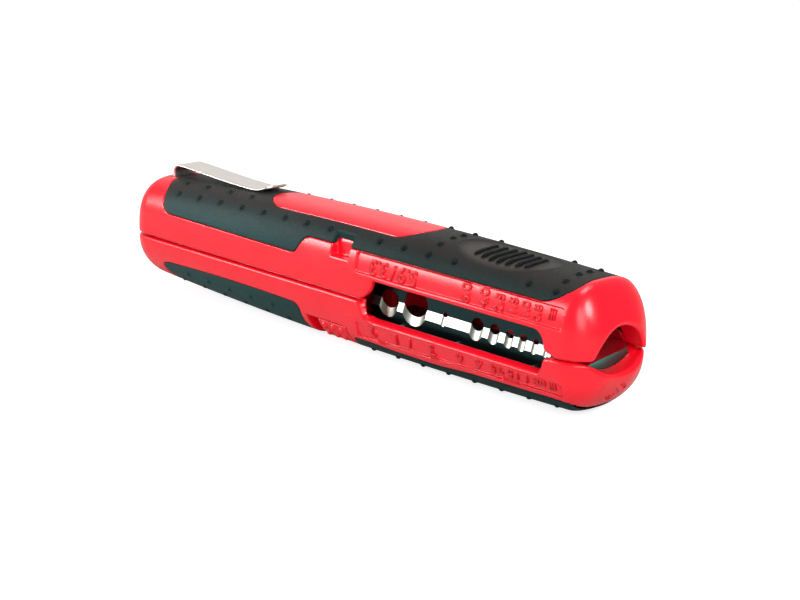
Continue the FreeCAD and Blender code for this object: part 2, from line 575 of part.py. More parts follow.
# ---------------------------------------------------------------- write
NODES = {
    "lower_shell": make_lower_shell(),
    "lower_grip_rear": lower_grip_rear,
    "lower_grip_front": lower_grip_front,
    "lower_blade_holder": make_blade_holder(LOWER, BLADE_Y0, LO_HOLDER_Z, SCREW_LO_Z),
    "lower_strip_blade": make_strip_blade(
        upper=False, y0=BLADE_Y0, land_z=-BEVEL_DROP, back_z=-12, z_span=(-6.8, 5),
        screw_z=SCREW_LO_Z),
    "lower_blade_screws": make_blade_screws(BLADE_Y0, SCREW_LO_Z),
    "lower_cable_blade": make_lower_cable_blade(),
    "lower_cable_screws": make_cable_screws(CABLE_SCREW_LO_Z, LO_CABLE_X1),
    "hinge_pin": cyl_y(PIN_X, PIN_Z, PIN_R, -PIN_HALF, PIN_HALF),
    "opening_spring": make_opening_spring(),
    "lock_detent_spring": make_detent_spring(),
    "lock_slider": make_lock_slider(),
    "upper_shell": make_upper_shell(),
    "upper_grip": upper_grip,
    "upper_blade_holder": make_blade_holder(UPPER, UP_BLADE_Y0, UP_HOLDER_Z, SCREW_UP_Z),
    "upper_strip_blade": make_strip_blade(
        upper=True, y0=UP_BLADE_Y0, land_z=UP_LAND, back_z=12, z_span=(-5, 7.0),
        screw_z=SCREW_UP_Z),
    "upper_blade_screws": make_blade_screws(UP_BLADE_Y0, SCREW_UP_Z),
    "upper_cable_blade": make_upper_cable_blade(),
    "upper_cable_screws": make_cable_screws(CABLE_SCREW_UP_Z, UP_CABLE_X1),
    "pocket_clip": make_pocket_clip(),
}
os.makedirs("parts", exist_ok=True)
for name, shape in NODES.items():
    if name != "opening_spring":
        shape = shape.removeSplitter()
    solids = shape.Solids
    part = (solids[0] if len(solids) == 1 else Part.Compound(solids)).copy()
    part.translate(FreeCAD.Vector(-LENGTH / 2, 0, -REST_Z))
    part.exportStep("parts/" + name + ".step")
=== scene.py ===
# A hand-held cable stripper: two red plastic jaws with black soft grips, hinged at the rear.
# It lies along x with the hinge at low x (rear) and the mouth at high x (front). The upper
# jaw is on +z, the lower jaw rests on its flat underside, and the numerals are on the -y side.
import math
from collections import namedtuple
from functools import reduce

import bpy
import bmesh
import numpy as np
from mathutils import Matrix, Vector


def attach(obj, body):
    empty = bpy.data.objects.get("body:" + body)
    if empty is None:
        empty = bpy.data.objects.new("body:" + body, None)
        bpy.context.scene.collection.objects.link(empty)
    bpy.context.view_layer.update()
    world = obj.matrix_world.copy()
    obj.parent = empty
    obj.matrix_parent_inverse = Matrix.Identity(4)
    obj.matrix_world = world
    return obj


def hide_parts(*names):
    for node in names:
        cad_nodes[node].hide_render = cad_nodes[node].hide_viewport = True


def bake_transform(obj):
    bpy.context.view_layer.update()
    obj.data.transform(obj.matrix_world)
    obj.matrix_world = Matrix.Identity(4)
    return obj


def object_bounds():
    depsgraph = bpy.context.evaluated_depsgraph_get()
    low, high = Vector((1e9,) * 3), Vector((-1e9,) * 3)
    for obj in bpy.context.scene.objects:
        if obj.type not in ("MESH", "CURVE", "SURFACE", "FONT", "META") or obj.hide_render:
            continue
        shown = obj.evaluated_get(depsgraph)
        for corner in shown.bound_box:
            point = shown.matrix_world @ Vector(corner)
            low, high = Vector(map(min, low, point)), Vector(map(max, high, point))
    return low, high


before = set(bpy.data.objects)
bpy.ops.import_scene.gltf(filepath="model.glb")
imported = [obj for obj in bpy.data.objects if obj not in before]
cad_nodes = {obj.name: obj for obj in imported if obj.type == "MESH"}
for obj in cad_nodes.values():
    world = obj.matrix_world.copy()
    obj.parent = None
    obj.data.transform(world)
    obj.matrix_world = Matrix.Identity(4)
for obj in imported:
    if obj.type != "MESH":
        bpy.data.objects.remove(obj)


def scene_box():
    return [[float(value) for value in corner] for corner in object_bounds()]


cad_box = scene_box()

# Shapes are modelled in millimetres, with x from the rear end and z from the parting plane.
LENGTH = 125.0
MIDDLE_X = LENGTH / 2
REST_Z = -10.8                     # flat underside that the tool rests on


def to_frame(points):
    """Millimetres to the metres of the frame: origin at mid length, on the resting plane."""
    points = np.asarray(points, float)
    return np.stack([(points[:, 0] - MIDDLE_X) / 1000, points[:, 1] / 1000,
                     (points[:, 2] - REST_Z) / 1000], 1)


def add_object(name, data):
    ob = bpy.data.objects.new(name, data)
    bpy.context.scene.collection.objects.link(ob)
    return ob


# ------------------------------------------------------------------ distance-field tools
# A shape is a function of x, y, z that is negative inside.
def round_and(a, b, r):
    """Intersection with a rounded edge of radius r."""
    return (np.minimum(-r, np.maximum(a, b))
            + np.hypot(np.maximum(r + a, 0), np.maximum(r + b, 0)))


def round_or(a, b, r):
    """Union with a fillet of radius r."""
    return -round_and(-a, -b, r)


def carve(a, b, r=0.0):
    """Take b away from a, with a rounded edge if r is given."""
    return round_and(a, -b, r) if r > 0 else np.maximum(a, -b)


def box(x, y, z, x0, x1, y0, y1, z0, z1, r=0.0):
    qx = np.abs(x - (x0 + x1) / 2) - (x1 - x0) / 2 + r
    qy = np.abs(y - (y0 + y1) / 2) - (y1 - y0) / 2 + r
    qz = np.abs(z - (z0 + z1) / 2) - (z1 - z0) / 2 + r
    outer = np.sqrt(np.maximum(qx, 0) ** 2 + np.maximum(qy, 0) ** 2 + np.maximum(qz, 0) ** 2)
    return outer + np.minimum(np.maximum(qx, np.maximum(qy, qz)), 0) - r


def boxes(x, y, z, table):
    """Union of boxes, one row of box limits each."""
    return reduce(np.minimum, (box(x, y, z, *row) for row in table))


def rectangle(x, z, x0, x1, z0, z1, r=0.0):
    qx = np.abs(x - (x0 + x1) / 2) - (x1 - x0) / 2 + r
    qz = np.abs(z - (z0 + z1) / 2) - (z1 - z0) / 2 + r
    outer = np.hypot(np.maximum(qx, 0), np.maximum(qz, 0))
    return outer + np.minimum(np.maximum(qx, qz), 0) - r


def polygon(x, z, outline):
    """Signed distance to a closed outline in the x-z plane."""
    outline = np.asarray(outline, float)
    nearest = np.full(np.shape(x), 1e9)
    inside = np.zeros(np.shape(x), bool)
    for i in range(len(outline)):
        ax, az = outline[i]
        bx, bz = outline[(i + 1) % len(outline)]
        ex, ez = bx - ax, bz - az
        wx, wz = x - ax, z - az
        t = np.clip((wx * ex + wz * ez) / (ex * ex + ez * ez), 0, 1)
        nearest = np.minimum(nearest, (wx - ex * t) ** 2 + (wz - ez * t) ** 2)
        if ez != 0:
            spans = (az > z) != (bz > z)
            inside ^= spans & (x < ex * (z - az) / ez + ax)
    nearest = np.sqrt(nearest)
    return np.where(inside, -nearest, nearest)


def gradient(shape, points, step=0.02):
    slope = np.empty_like(points)
    for k in range(3):
        ahead, behind = points.copy(), points.copy()
        ahead[:, k] += step
        behind[:, k] -= step
        slope[:, k] = (shape(*ahead.T) - shape(*behind.T)) / (2 * step)
    return slope


# ------------------------------------------------------------------ surface nets
CORNERS = [(a, b, c) for a in (0, 1) for b in (0, 1) for c in (0, 1)]
SLAB_SAMPLES = 400000              # samples worked out at a time
NEWTON_ROUNDS = 3


def sample_grid(shape, axes):
    values = np.empty([len(axis) for axis in axes], np.float32)
    slab = max(1, int(SLAB_SAMPLES / (len(axes[1]) * len(axes[2]))))
    for i in range(0, len(axes[0]), slab):
        x, y, z = np.meshgrid(axes[0][i:i + slab], axes[1], axes[2], indexing="ij")
        values[i:i + slab] = shape(x, y, z)
    return values


def crossed_cells(inside):
    """The cells the surface passes through, and the grid of their vertex numbers."""
    n = np.array(inside.shape)
    count = np.zeros(tuple(n - 1), np.int8)
    for a, b, c in CORNERS:
        count += inside[a:n[0] - 1 + a, b:n[1] - 1 + b, c:n[2] - 1 + c]
    crossed = (count > 0) & (count < 8)
    cells = np.argwhere(crossed)
    numbers = np.full(tuple(n - 1), -1, np.int64)
    numbers[crossed] = np.arange(len(cells))
    return cells, numbers


def mean_crossing(values, cells):
    """Mean of the points where the surface cuts the edges of each cell, in cell units."""
    at_corner = {c: values[cells[:, 0] + c[0], cells[:, 1] + c[1],
                           cells[:, 2] + c[2]].astype(float) for c in CORNERS}
    total, crossings = np.zeros((len(cells), 3)), np.zeros(len(cells))
    for corner in CORNERS:
        for k in range(3):
            if corner[k] == 1:
                continue
            far_corner = list(corner)
            far_corner[k] = 1
            va, vb = at_corner[corner], at_corner[tuple(far_corner)]
            crosses = (va < 0) != (vb < 0)
            t = np.where(crosses, va / np.where(va == vb, 1, va - vb), 0)
            point = np.zeros((len(cells), 3)) + np.array(corner, float)
            point[:, k] += t
            total += point * crosses[:, None]
            crossings += crosses
    return total / crossings[:, None]


def net_quads(inside, numbers):
    """One quad round every grid edge that crosses the surface."""
    n = inside.shape
    quads = []
    for k in range(3):
        a, b = [(1, 2), (2, 0), (0, 1)][k]
        start, end = [slice(None)] * 3, [slice(None)] * 3
        start[k] = slice(0, n[k] - 1)
        end[k] = slice(1, n[k])
        starts_inside = inside[tuple(start)]
        edges = np.argwhere(starts_inside != inside[tuple(end)])
        edges = edges[(edges[:, a] > 0) & (edges[:, b] > 0)
                      & (edges[:, a] < n[a] - 1) & (edges[:, b] < n[b] - 1)]
        ring = []
        for da, db in ((-1, -1), (0, -1), (0, 0), (-1, 0)):
            cell = edges.copy()
            cell[:, a] += da
            cell[:, b] += db
            ring.append(numbers[cell[:, 0], cell[:, 1], cell[:, 2]])
        quad = np.stack(ring, 1)
        reverse = ~starts_inside[edges[:, 0], edges[:, 1], edges[:, 2]]
        quad[reverse] = quad[reverse][:, ::-1]
        quads.append(quad)
    return np.concatenate(quads)


def pull_to_surface(shape, points, cell):
    """Newton steps onto the surface, each kept short and the whole move under 0.6 cell."""
    first = points.copy()
    for _ in range(NEWTON_ROUNDS):
        slope = gradient(shape, points)
        value = shape(*points.T)
        steepness = np.maximum((slope ** 2).sum(1), 0.2)
        move = -(value / steepness)[:, None] * slope
        length = np.linalg.norm(move, axis=1, keepdims=True)
        move *= np.minimum(1, 0.35 * cell / np.maximum(length, 1e-9))
        points = points + move
        points = first + np.clip(points - first, -0.6 * cell, 0.6 * cell)
    return points


def surface_mesh(name, shape, lo, hi, cell):
    """Quad mesh of the surface of a shape, with smooth normals taken from the field."""
    lo, hi = np.asarray(lo, float), np.asarray(hi, float)
    n = np.ceil((hi - lo) / cell).astype(int) + 1
    values = sample_grid(shape, [lo[k] + cell * np.arange(n[k]) for k in range(3)])
    inside = values < 0
    cells, numbers = crossed_cells(inside)
    points = lo + (cells + mean_crossing(values, cells)) * cell
    quads = net_quads(inside, numbers)
    points = pull_to_surface(shape, points, cell)
    slope = gradient(shape, points)
    normals = slope / np.maximum(np.linalg.norm(slope, axis=1, keepdims=True), 1e-9)
    mesh = bpy.data.meshes.new(name)
    mesh.vertices.add(len(points))
    mesh.vertices.foreach_set("co", to_frame(points).astype(np.float32).ravel())
    mesh.loops.add(len(quads) * 4)
    mesh.loops.foreach_set("vertex_index", quads.ravel().astype(np.int32))
    mesh.polygons.add(len(quads))
    mesh.polygons.foreach_set("loop_start", (np.arange(len(quads)) * 4).astype(np.int32))
    mesh.polygons.foreach_set("use_smooth", np.ones(len(quads), bool))
    mesh.update(calc_edges=True)
    mesh.validate()
    if len(mesh.vertices) == len(points):
        mesh.normals_split_custom_set_from_vertices(normals.astype(np.float32))
    return add_object(name, mesh)


# ------------------------------------------------------------------ body shape
# Each half is a superellipse section swept along x, rounded off at both ends.
# side: +1 up, -1 down. height at mid length changes by slope * t - crown * t^2 towards the
# ends (t = -1 rear, +1 front). power shapes the section, the radii round the ends.
Half = namedtuple("Half", "side height slope crown power rear_radius front_radius length")
UPPER = Half(1, 12.74, 0.70, 1.52, 3.0, 6.0, 5.1, LENGTH)
LOWER = Half(-1, 11.08, 0.88, 1.74, 2.5, 8.4, 8.0, LENGTH - 0.4)
HALF_WIDTH, HALF_WIDTH_SLOPE = 9.17, -0.22
SIDE_END_RADIUS, SIDE_END_POWER = 6.73, 2.2      # end rounding seen from above
REAR_END_POWER, FRONT_END_POWER = 1.97, 1.65     # end rounding seen from the side

WALL = 1.8                         # shell wall
SKIN = 1.0                         # thickness of the soft grip
UPPER_GAP, LOWER_GAP = 0.10, -0.32               # z of the shell edges at the parting gap
HINGE_X, HINGE_Z = 6.0, -0.15
LUG_RADIUS = 2.8
PIN_HOLE_HALF_LENGTH = 5.7
SPRING_X = 18


def section_size(half, t):
    """Half width and height of the section at t."""
    return (HALF_WIDTH + HALF_WIDTH_SLOPE * t,
            half.height + half.slope * t - half.crown * t * t)


def other_axis(reach, fraction, power):
    """Superellipse coordinate on one axis, from the fraction reached on the other."""
    return reach * (1 - fraction ** power) ** (1 / power)


def body_radius(x, y, z, half):
    """1 on the body surface, growing outwards."""
    width, height = section_size(half, np.clip((x - MIDDLE_X) / MIDDLE_X, -1.05, 1.05))
    sideways = (np.abs(y) / width) ** half.power
    upright = (np.maximum(z * half.side, 0.0) / height) ** half.power
    total = sideways + upright + 1e-12
    radius = total ** (1 / half.power)
    share = sideways / total
    rear = x < MIDDLE_X
    end_radius = (share * SIDE_END_RADIUS
                  + (1 - share) * np.where(rear, half.rear_radius, half.front_radius))
    end_power = (share * SIDE_END_POWER
                 + (1 - share) * np.where(rear, REAR_END_POWER, FRONT_END_POWER))
    from_end = np.where(rear, x, half.length - x)
    into_end = np.maximum(1 - from_end / end_radius, 0.0)
    rounded = (radius ** end_power + into_end ** end_power) ** (1 / end_power)
    return np.where(into_end > 0, rounded, radius)


def body(x, y, z, half, step=0.06):
    """Approximate distance to the body surface."""
    here = body_radius(x, y, z, half)
    gx = (body_radius(x + step, y, z, half) - here) / step
    gy = (body_radius(x, y + step, z, half) - here) / step
    gz = (body_radius(x, y, z + step, half) - here) / step
    return (here - 1) / np.maximum(np.sqrt(gx * gx + gy * gy + gz * gz), 0.02)


def post(x, y, z, radius, z0, z1):
    """Upright cylinder on the axis of the opening spring."""
    return np.maximum(np.hypot(x - SPRING_X, y) - radius, np.maximum(z0 - z, z - z1))


def hinge_cylinder(x, z, radius):
    return np.hypot(x - HINGE_X, z - HINGE_Z) - radius


# ------------------------------------------------------------------ soft grip regions
# A region is negative where a grip covers the shell, seen from the outside.
# Lower edge of the upper grip along the side: x, z.
UPPER_GRIP_EDGE = np.array([
    (4, 5.45), (30, 5.2), (51.3, 4.98), (52.1, 5.1), (52.7, 5.7), (53.3, 6.6),
    (53.9, 7.5), (54.6, 8.1), (55.6, 8.4), (130, 8.45)])
# Upper edges of the two lower grips along the side: x, z.
REAR_GRIP_EDGE = np.array([(6, -5.6), (11.6, -4.75), (14, -4.4), (20, -4.2), (30, -4.05),
                           (42, -4.1), (50.4, -4.3), (56, -4.5)])
FRONT_GRIP_EDGE = np.array([(60, -7.9), (70, -8.0), (78, -8.3), (88, -8.4), (96, -7.85),
                            (105, -7.65), (116, -7.5), (120, -7.6)])
# Pill-shaped opening on top of the upper grip.
PILL_X0, PILL_X1, PILL_HALF_WIDTH = 37.8, 80.1, 5.5
PILL_REAR_ROUND, PILL_FRONT_ROUND = 7.0, 5.0
# Square notch in both shoulders of the upper jaw, from NOTCH_Y outwards and NOTCH_Z upwards.
NOTCH_X0, NOTCH_X1, NOTCH_Y, NOTCH_Z = 62.0, 66.8, 6.9, 6.3


def grip_rear_edge(y):
    return 7.5 + np.sqrt((0.55 * y) ** 2 + 1.2 ** 2) - 0.6


def grip_front_edge(y):
    return 119.0 - 0.42 * np.maximum(np.abs(y) - 4.6, 0) ** 1.5


def top_pill(x, y):
    into_rear = np.maximum(PILL_X0 + PILL_REAR_ROUND - x, 0) / PILL_REAR_ROUND
    into_front = np.maximum(x - (PILL_X1 - PILL_FRONT_ROUND), 0) / PILL_FRONT_ROUND
    u = np.maximum(into_rear, into_front)
    end_length = np.where(into_front > into_rear, PILL_FRONT_ROUND, PILL_REAR_ROUND)
    v = np.abs(y) / PILL_HALF_WIDTH
    radius = np.sqrt(u * u + v * v) + 1e-9
    slope = np.sqrt((u / end_length) ** 2 + (v / PILL_HALF_WIDTH) ** 2) / radius
    return (radius - 1) / np.maximum(slope, 1e-3)


def smooth_interp(x, stations, reach=0.35):
    xs, zs = stations[:, 0], stations[:, 1]
    return (np.interp(x - reach, xs, zs) + np.interp(x, xs, zs) * 2
            + np.interp(x + reach, xs, zs)) / 4


def notch(x, y, z):
    return box(x, np.abs(y), z, NOTCH_X0, NOTCH_X1, NOTCH_Y, 20, NOTCH_Z, 30, 0.25)


def upper_region(x, y, z):
    edge = smooth_interp(x, UPPER_GRIP_EDGE)
    slope = (smooth_interp(x + 0.3, UPPER_GRIP_EDGE)
             - smooth_interp(x - 0.3, UPPER_GRIP_EDGE)) / 0.6
    below = (edge - z) / np.sqrt(1 + slope * slope)
    out = round_and(below, (grip_rear_edge(y) - x) * 0.88, 2.2)
    out = round_and(out, (x - grip_front_edge(y)) * 0.9, 3.2)
    out = np.maximum(out, np.where(z > 7, -top_pill(x, y), -20))
    return carve(out, notch(x, y, z))


def lower_rear_region(x, y, z):
    out = round_and(z - smooth_interp(x, REAR_GRIP_EDGE), (x - 53.1) * 0.98, 1.5)
    rear = 11.1 + 0.30 * np.maximum(-5.2 - z, 0) ** 1.5
    return round_and(out, (rear - x) * 0.9, 1.2)


def lower_front_region(x, y, z):
    out = round_and(z - smooth_interp(x, FRONT_GRIP_EDGE), 66.3 - x, 1.4)
    return round_and(out, (x - (grip_front_edge(y * 0.8) + 0.6)) * 0.9, 1.4)


def seat_cut(shell, surface, region):
    """Cut the seat of a soft grip, one skin deep, with a softened edge."""
    return carve(shell, np.maximum(region - 0.03, -(surface + SKIN)), 0.16)


# ------------------------------------------------------------------ upper shell
# Window in the -y side above the parting plane: x, z.
UPPER_WINDOW = [(69.9, 0.0), (70.9, 0.35), (71.9, 1.0), (72.75, 1.9), (73.3, 2.9),
                (73.55, 3.8), (112.4, 3.8)]
UPPER_WINDOW += [(112.4 + 2.4 * math.cos(math.radians(a)), 1.4 + 2.4 * math.sin(math.radians(a)))
                 for a in (75, 60, 45, 30, 15, 0)]
UPPER_WINDOW += [(115.0, 0.9), (115.6, 0.5), (116.6, 0.15), (117.2, -1.0), (69.0, -1.0)]

# Inner blocks and ribs: x0, x1, y0, y1, z0, z1.
UPPER_RIBS = (
    (3.2, 8.8, -3, 3, -0.15, 12),            # hinge lug
    (26, 28, -7.6, 7.6, 2, 13),
    (50.5, 52.3, -7.6, 7.6, 2, 13),
    (76, 79, -3.4, 5.8, 7.2, 13),
    (108, 111, -3.4, 5.8, 7.2, 13),
    (116.45, 118.65, -4.4, 4.4, 4.6, 13))
# The same, repeated on both sides of y = 0.
UPPER_SIDE_RIBS = (
    (NOTCH_X0 - 1.4, NOTCH_X1 + 1.4, NOTCH_Y - 1.2, 9, NOTCH_Z - 1.3, 13),   # backs the notch
    (55.4, 57.2, 3.5, 4.9, -0.2, 13),        # hook: upright
    (57.1, 59.7, 3.5, 4.9, -0.2, 1.0))       # hook: toe
UPPER_WINDOW_SLOT = (70.4, 76.0, -8.1, -4.0, -2.9, 3.8)
UPPER_SLOTS = (
    (6.9, 8.4, -3.0, 3.0, 7.9, 20),          # pocket clip slot
    (118.63, 119.5, -5.25, 5.25, -1, 8.25))  # cable blade slot


def upper_ribs(x, y, z):
    ay = np.abs(y)
    ribs = np.minimum(boxes(x, y, z, UPPER_RIBS), boxes(x, ay, z, UPPER_SIDE_RIBS))
    ribs = np.minimum(ribs, np.maximum(hinge_cylinder(x, z, LUG_RADIUS), ay - 3.0))
    seat = np.minimum(post(x, y, z, 2.3, 6.6, 13), post(x, y, z, 3.7, 9.12, 13))
    return np.minimum(ribs, seat)


def upper_shell(x, y, z):
    ay = np.abs(y)
    surface = body(x, y, z, UPPER)
    shell = seat_cut(surface, surface, upper_region(x, y, z))
    # recessed numeral panel on the -y side
    panel = np.maximum(rectangle(x, z, 68.9, 118.6, 4.75, 8.15, 0.5), y)
    shell = carve(shell, round_and(panel, -(surface + 0.38), 0.12), 0.14)
    # hollow inside, then ribs
    shell = carve(shell, np.maximum(surface + WALL, x - 118.2))
    shell = np.minimum(shell, np.maximum(upper_ribs(x, y, z), surface + SKIN + 0.2))
    # pin hole and shoulder notches
    shell = carve(shell, np.maximum(hinge_cylinder(x, z, 1.55), ay - PIN_HOLE_HALF_LENGTH))
    shell = carve(shell, notch(x, y, z), 0.22)
    # parting edge: wider open at the rear, lower at the hinge lug and at the hooks
    bottom = UPPER_GAP + 0.10 * np.clip((5.0 - x) / 5.0, 0, 1.4)
    bottom = np.where((x < 10) & (ay < 3.2), -3, bottom)
    bottom = np.where((x > 53) & (x < 62) & (ay < 5.4) & (ay > 3.2), -0.35, bottom)
    edge_radius = 0.38 + 0.5 * np.clip((4.0 - x) / 4.0, 0, 1)
    shell = np.where(z < 3.5, round_and(shell, bottom - z, edge_radius), shell)
    # side window
    shell = carve(shell, np.maximum(polygon(x, z, UPPER_WINDOW), 4.0 + y), 0.42)
    shell = carve(shell, box(x, y, z, *UPPER_WINDOW_SLOT))
    # round mouth in the front end, flared towards the parting plane
    flare = 0.5 * np.clip(1 - z / 2.6, 0, 1) ** 1.6
    mouth = np.maximum(np.hypot(y, z + 0.15) - 5.25 - flare, 112.0 - x)
    shell = carve(shell, mouth, 0.85)
    return carve(shell, boxes(x, y, z, UPPER_SLOTS))


# ------------------------------------------------------------------ lower shell
# Window in the -y side below the parting plane: x, z.
LOWER_WINDOW = [
    (70.2, 0.5), (70.9, -0.3), (71.3, -0.9), (71.5, -1.6), (71.75, -2.25), (72.4, -2.75),
    (73.6, -2.95), (112.9, -2.95), (113.8, -2.75), (114.3, -2.2), (114.55, -1.4),
    (114.75, -0.95), (115.2, -0.5), (116.0, -0.25), (117.2, 0.5)]
# Outline of the numeral panel on the -y side: x, z.
LOWER_PANEL = [(68.9, -4.3), (70.2, -3.6), (113.6, -3.6), (118.5, -4.4), (118.2, -6.45),
               (96, -6.75), (68.6, -7.3)]
# Ribs and slots: x0, x1, y0, y1, z0, z1.
LOWER_RIBS = (
    (27, 28.6, -7.6, 7.6, -11, -3), (46, 47.6, -7.6, 7.6, -11, -3),
    (76, 79, -3.4, 5.6, -11, -7.4), (108, 111, -3.4, 5.6, -11, -7.4),
    (117.2, 119.6, -4.4, 4.4, -11, -3.2))
LOWER_WINDOW_SLOT = (70.4, 76.0, -8.1, -4.0, -2.9, 2.0)
LOWER_SIDE_SLOT = (59.7, 65.2, 3.25, 5.15, -12, -5)      # slider arm, on both sides
LOWER_SLOTS = (
    (69.1, 113.5, -6.75, -3.6, -7.0, 2.0),
    (56.4, 63.9, -1.5, 1.5, -9.1, -8.2),
    (119.58, 120.44, -5.25, 5.25, -7.05, 2))             # cable blade slot
LUG_Y, LUG_HALF_WIDTH = 4.4, 1.2


def lower_lugs(x, y, z):
    """Two hinge lugs, one on each side of the upper one."""
    outline = np.maximum(np.abs(x - HINGE_X) - LUG_RADIUS, z - HINGE_Z)
    outline = np.minimum(outline, hinge_cylinder(x, z, LUG_RADIUS))
    return np.maximum(outline, np.abs(np.abs(y) - LUG_Y) - LUG_HALF_WIDTH)


def lower_shell(x, y, z):
    ay = np.abs(y)
    bare = body(x, y, z, LOWER)
    surface = round_and(bare, REST_Z - z, 1.2)
    shell = surface
    for region in (lower_rear_region, lower_front_region):
        shell = seat_cut(shell, surface, region(x, y, z))
    # recessed numeral panel, fading out at its top
    panel = np.maximum(polygon(x, z, LOWER_PANEL), y)
    panel_depth = 0.34 * np.clip(-3.9 - z, 0.0, 1.0)
    shell = carve(shell, round_and(panel, -(surface + panel_depth), 0.10), 0.12)
    # hollow inside, with a thicker wall behind the slider groove
    wall = np.where((x > 52.9) & (x < 67.5), 3.4, WALL)
    inner = np.maximum(np.maximum(surface + wall, x - 118.6), 1.9 - x)
    shell = carve(shell, inner)
    groove = np.maximum(rectangle(x, z, 54.7, 65.7, -30, -6.2, 0.3), -(surface + 1.9))
    shell = carve(shell, groove, 0.2)
    # a tongue inside the parting gap, in front of the hinge
    tongue = np.maximum(np.maximum(shell, z - 0.02), np.maximum(bare + 1.0, 8.5 - x))
    top = LOWER_GAP - 0.19 * np.clip((5.0 - x) / 5.0, 0, 1.4)
    edge_radius = 0.55 + 0.35 * np.clip((4.0 - x) / 4.0, 0, 1)
    shell = round_and(shell, z - top, edge_radius)
    shell = np.minimum(shell, tongue)
    # hinge lugs, held inside the wall below the parting edge
    lug_limit = np.where(z < -0.6, bare + WALL * 0.5, -9)
    shell = np.minimum(shell, np.maximum(lower_lugs(x, y, z), lug_limit))
    # ribs and spring seat
    ribs = np.minimum(boxes(x, y, z, LOWER_RIBS), post(x, y, z, 2.3, -20, -5.0))
    ribs = np.minimum(ribs, post(x, y, z, 3.7, -20, -7.22))
    shell = np.minimum(shell, np.maximum(ribs, surface + SKIN + 0.2))
    shell = carve(shell, np.maximum(hinge_cylinder(x, z, 1.5), ay - PIN_HOLE_HALF_LENGTH))
    # side window: its lower edge slopes down to the outside
    flare = np.clip((ay - 7.2) * 0.5, 0, 0.95) * np.clip((114.2 - x) / 0.8, 0.0, 1)
    shell = carve(shell, np.maximum(polygon(x, z, LOWER_WINDOW) - flare, 4.0 + y), 0.5)
    shell = carve(shell, box(x, y, z, *LOWER_WINDOW_SLOT))
    # shallow round mouth in the front end
    mouth = np.maximum(np.hypot(y, z - 6.0) - 8.7, 112.0 - x)
    shell = carve(shell, mouth, 1.3)
    return carve(shell, np.minimum(box(x, ay, z, *LOWER_SIDE_SLOT),
                                   boxes(x, y, z, LOWER_SLOTS)))


# ------------------------------------------------------------------ studs on the soft grips
STUD_RADIUS = 0.52
UPPER_STUD_SINK, LOWER_STUD_SINK = 0.08, 0.22    # depth of the stud centres
STUD_PITCH = 6.4
SHOULDER_STUD_XS = (15.1, 21.6, 28.1, 34.65, 41.1, 47.4, 53.55, 60.0,
                    73.2, 79.4, 85.6, 91.9, 109.3, 115.35)
# Other rows on the upper grip: y, then the x of each stud.
UPPER_STUD_ROWS = (
    (5.95, (38.5, 45.1, 51.5, 58.0, 64.5, 70.9)),
    (4.9, (78.7, 91.2, 108.4)),
    (-4.65, (14.4, 20.9, 27.9, 34.6)),
    (4.65, (14.4, 20.9, 27.9)))
CROSS_ROW_XS, CROSS_ROW_YS = (86.1, 115.5), (-4.75, -1.65, 0.85, 3.6)
# Rows on both sides of the lower grips: first x, number of studs, depth over body height.
LOWER_STUD_ROWS = ((15.8, 6, 0.80), (19.0, 5, 0.60), (70.2, 8, 0.875))


def upper_stud(x, y):
    width, height = section_size(UPPER, (x - MIDDLE_X) / MIDDLE_X)
    return x, y, other_axis(height, abs(y) / width, UPPER.power)


def upper_stud_points():
    points = []
    for x in SHOULDER_STUD_XS:
        shoulder_y = 7.2 - 0.004 * x
        points.append(upper_stud(x, -shoulder_y))
        if not 40 < x < 84:
            points.append(upper_stud(x, shoulder_y))
    points += [upper_stud(x, y) for y, xs in UPPER_STUD_ROWS for x in xs]
    points += [upper_stud(x, y) for x in CROSS_ROW_XS for y in CROSS_ROW_YS]
    return np.array(points)


def lower_stud_points():
    points = []
    for first_x, count, depth in LOWER_STUD_ROWS:
        for x in [first_x + STUD_PITCH * k for k in range(count)]:
            width, height = section_size(LOWER, (x - MIDDLE_X) / MIDDLE_X)
            y = other_axis(width, depth, LOWER.power)
            z = max(-(depth * height), REST_Z)
            points += [(x, y, z), (x, -y, z)]
    return np.array(points)


UPPER_STUDS, LOWER_STUDS = upper_stud_points(), lower_stud_points()


def studs(x, y, z, points, sink):
    """Union of small domes, each tested only near its own x."""
    out = np.full(np.shape(x), 9.0)
    for px, py, pz in points:
        near = np.abs(x - px) < 1.4
        if not near.any():
            continue
        # sunk along the normal of a 9.2 x 12 ellipse
        ny, nz = py / 9.2 ** 2, pz / 12 ** 2
        length = math.hypot(ny, nz)
        cy, cz = py - ny / length * sink, pz - nz / length * sink
        dome = np.sqrt((x - px) ** 2 + (y - cy) ** 2 + (z - cz) ** 2) - STUD_RADIUS
        out = np.where(near, np.minimum(out, dome), out)
    return out


# ------------------------------------------------------------------ soft grips
# Oval thumb pad on top of the upper grip.
PAD_X, PAD_Y, PAD_HALF_LENGTH, PAD_HALF_WIDTH, PAD_POWER = 99.2, -1.3, 11.0, 5.0, 2.3
# Centre lines of the seven bars across the pad: x0, y0, x1, y1.
PAD_BARS = ((94.8, -4.75, 94.1, 1.1), (96.8, -5.15, 96.2, 1.35), (98.75, -5.4, 98.25, 1.65),
            (100.6, -5.55, 100.1, 2.0), (102.55, -5.35, 102.1, 1.6),
            (104.6, -5.05, 103.9, 1.45), (106.4, -4.6, 105.75, 1.1))
BAR_RADIUS, BAR_HEIGHT = 0.56, 0.50


def bar_distance(x, y):
    nearest = np.full(np.shape(x), 9.0)
    for x0, y0, x1, y1 in PAD_BARS:
        ex, ey = x1 - x0, y1 - y0
        t = ((x - x0) * ex + (y - y0) * ey) / (ex * ex + ey * ey)
        t = np.clip(t, 0.08, 0.92)
        nearest = np.minimum(nearest, np.hypot(x - x0 - t * ex, y - y0 - t * ey) - BAR_RADIUS)
    return nearest


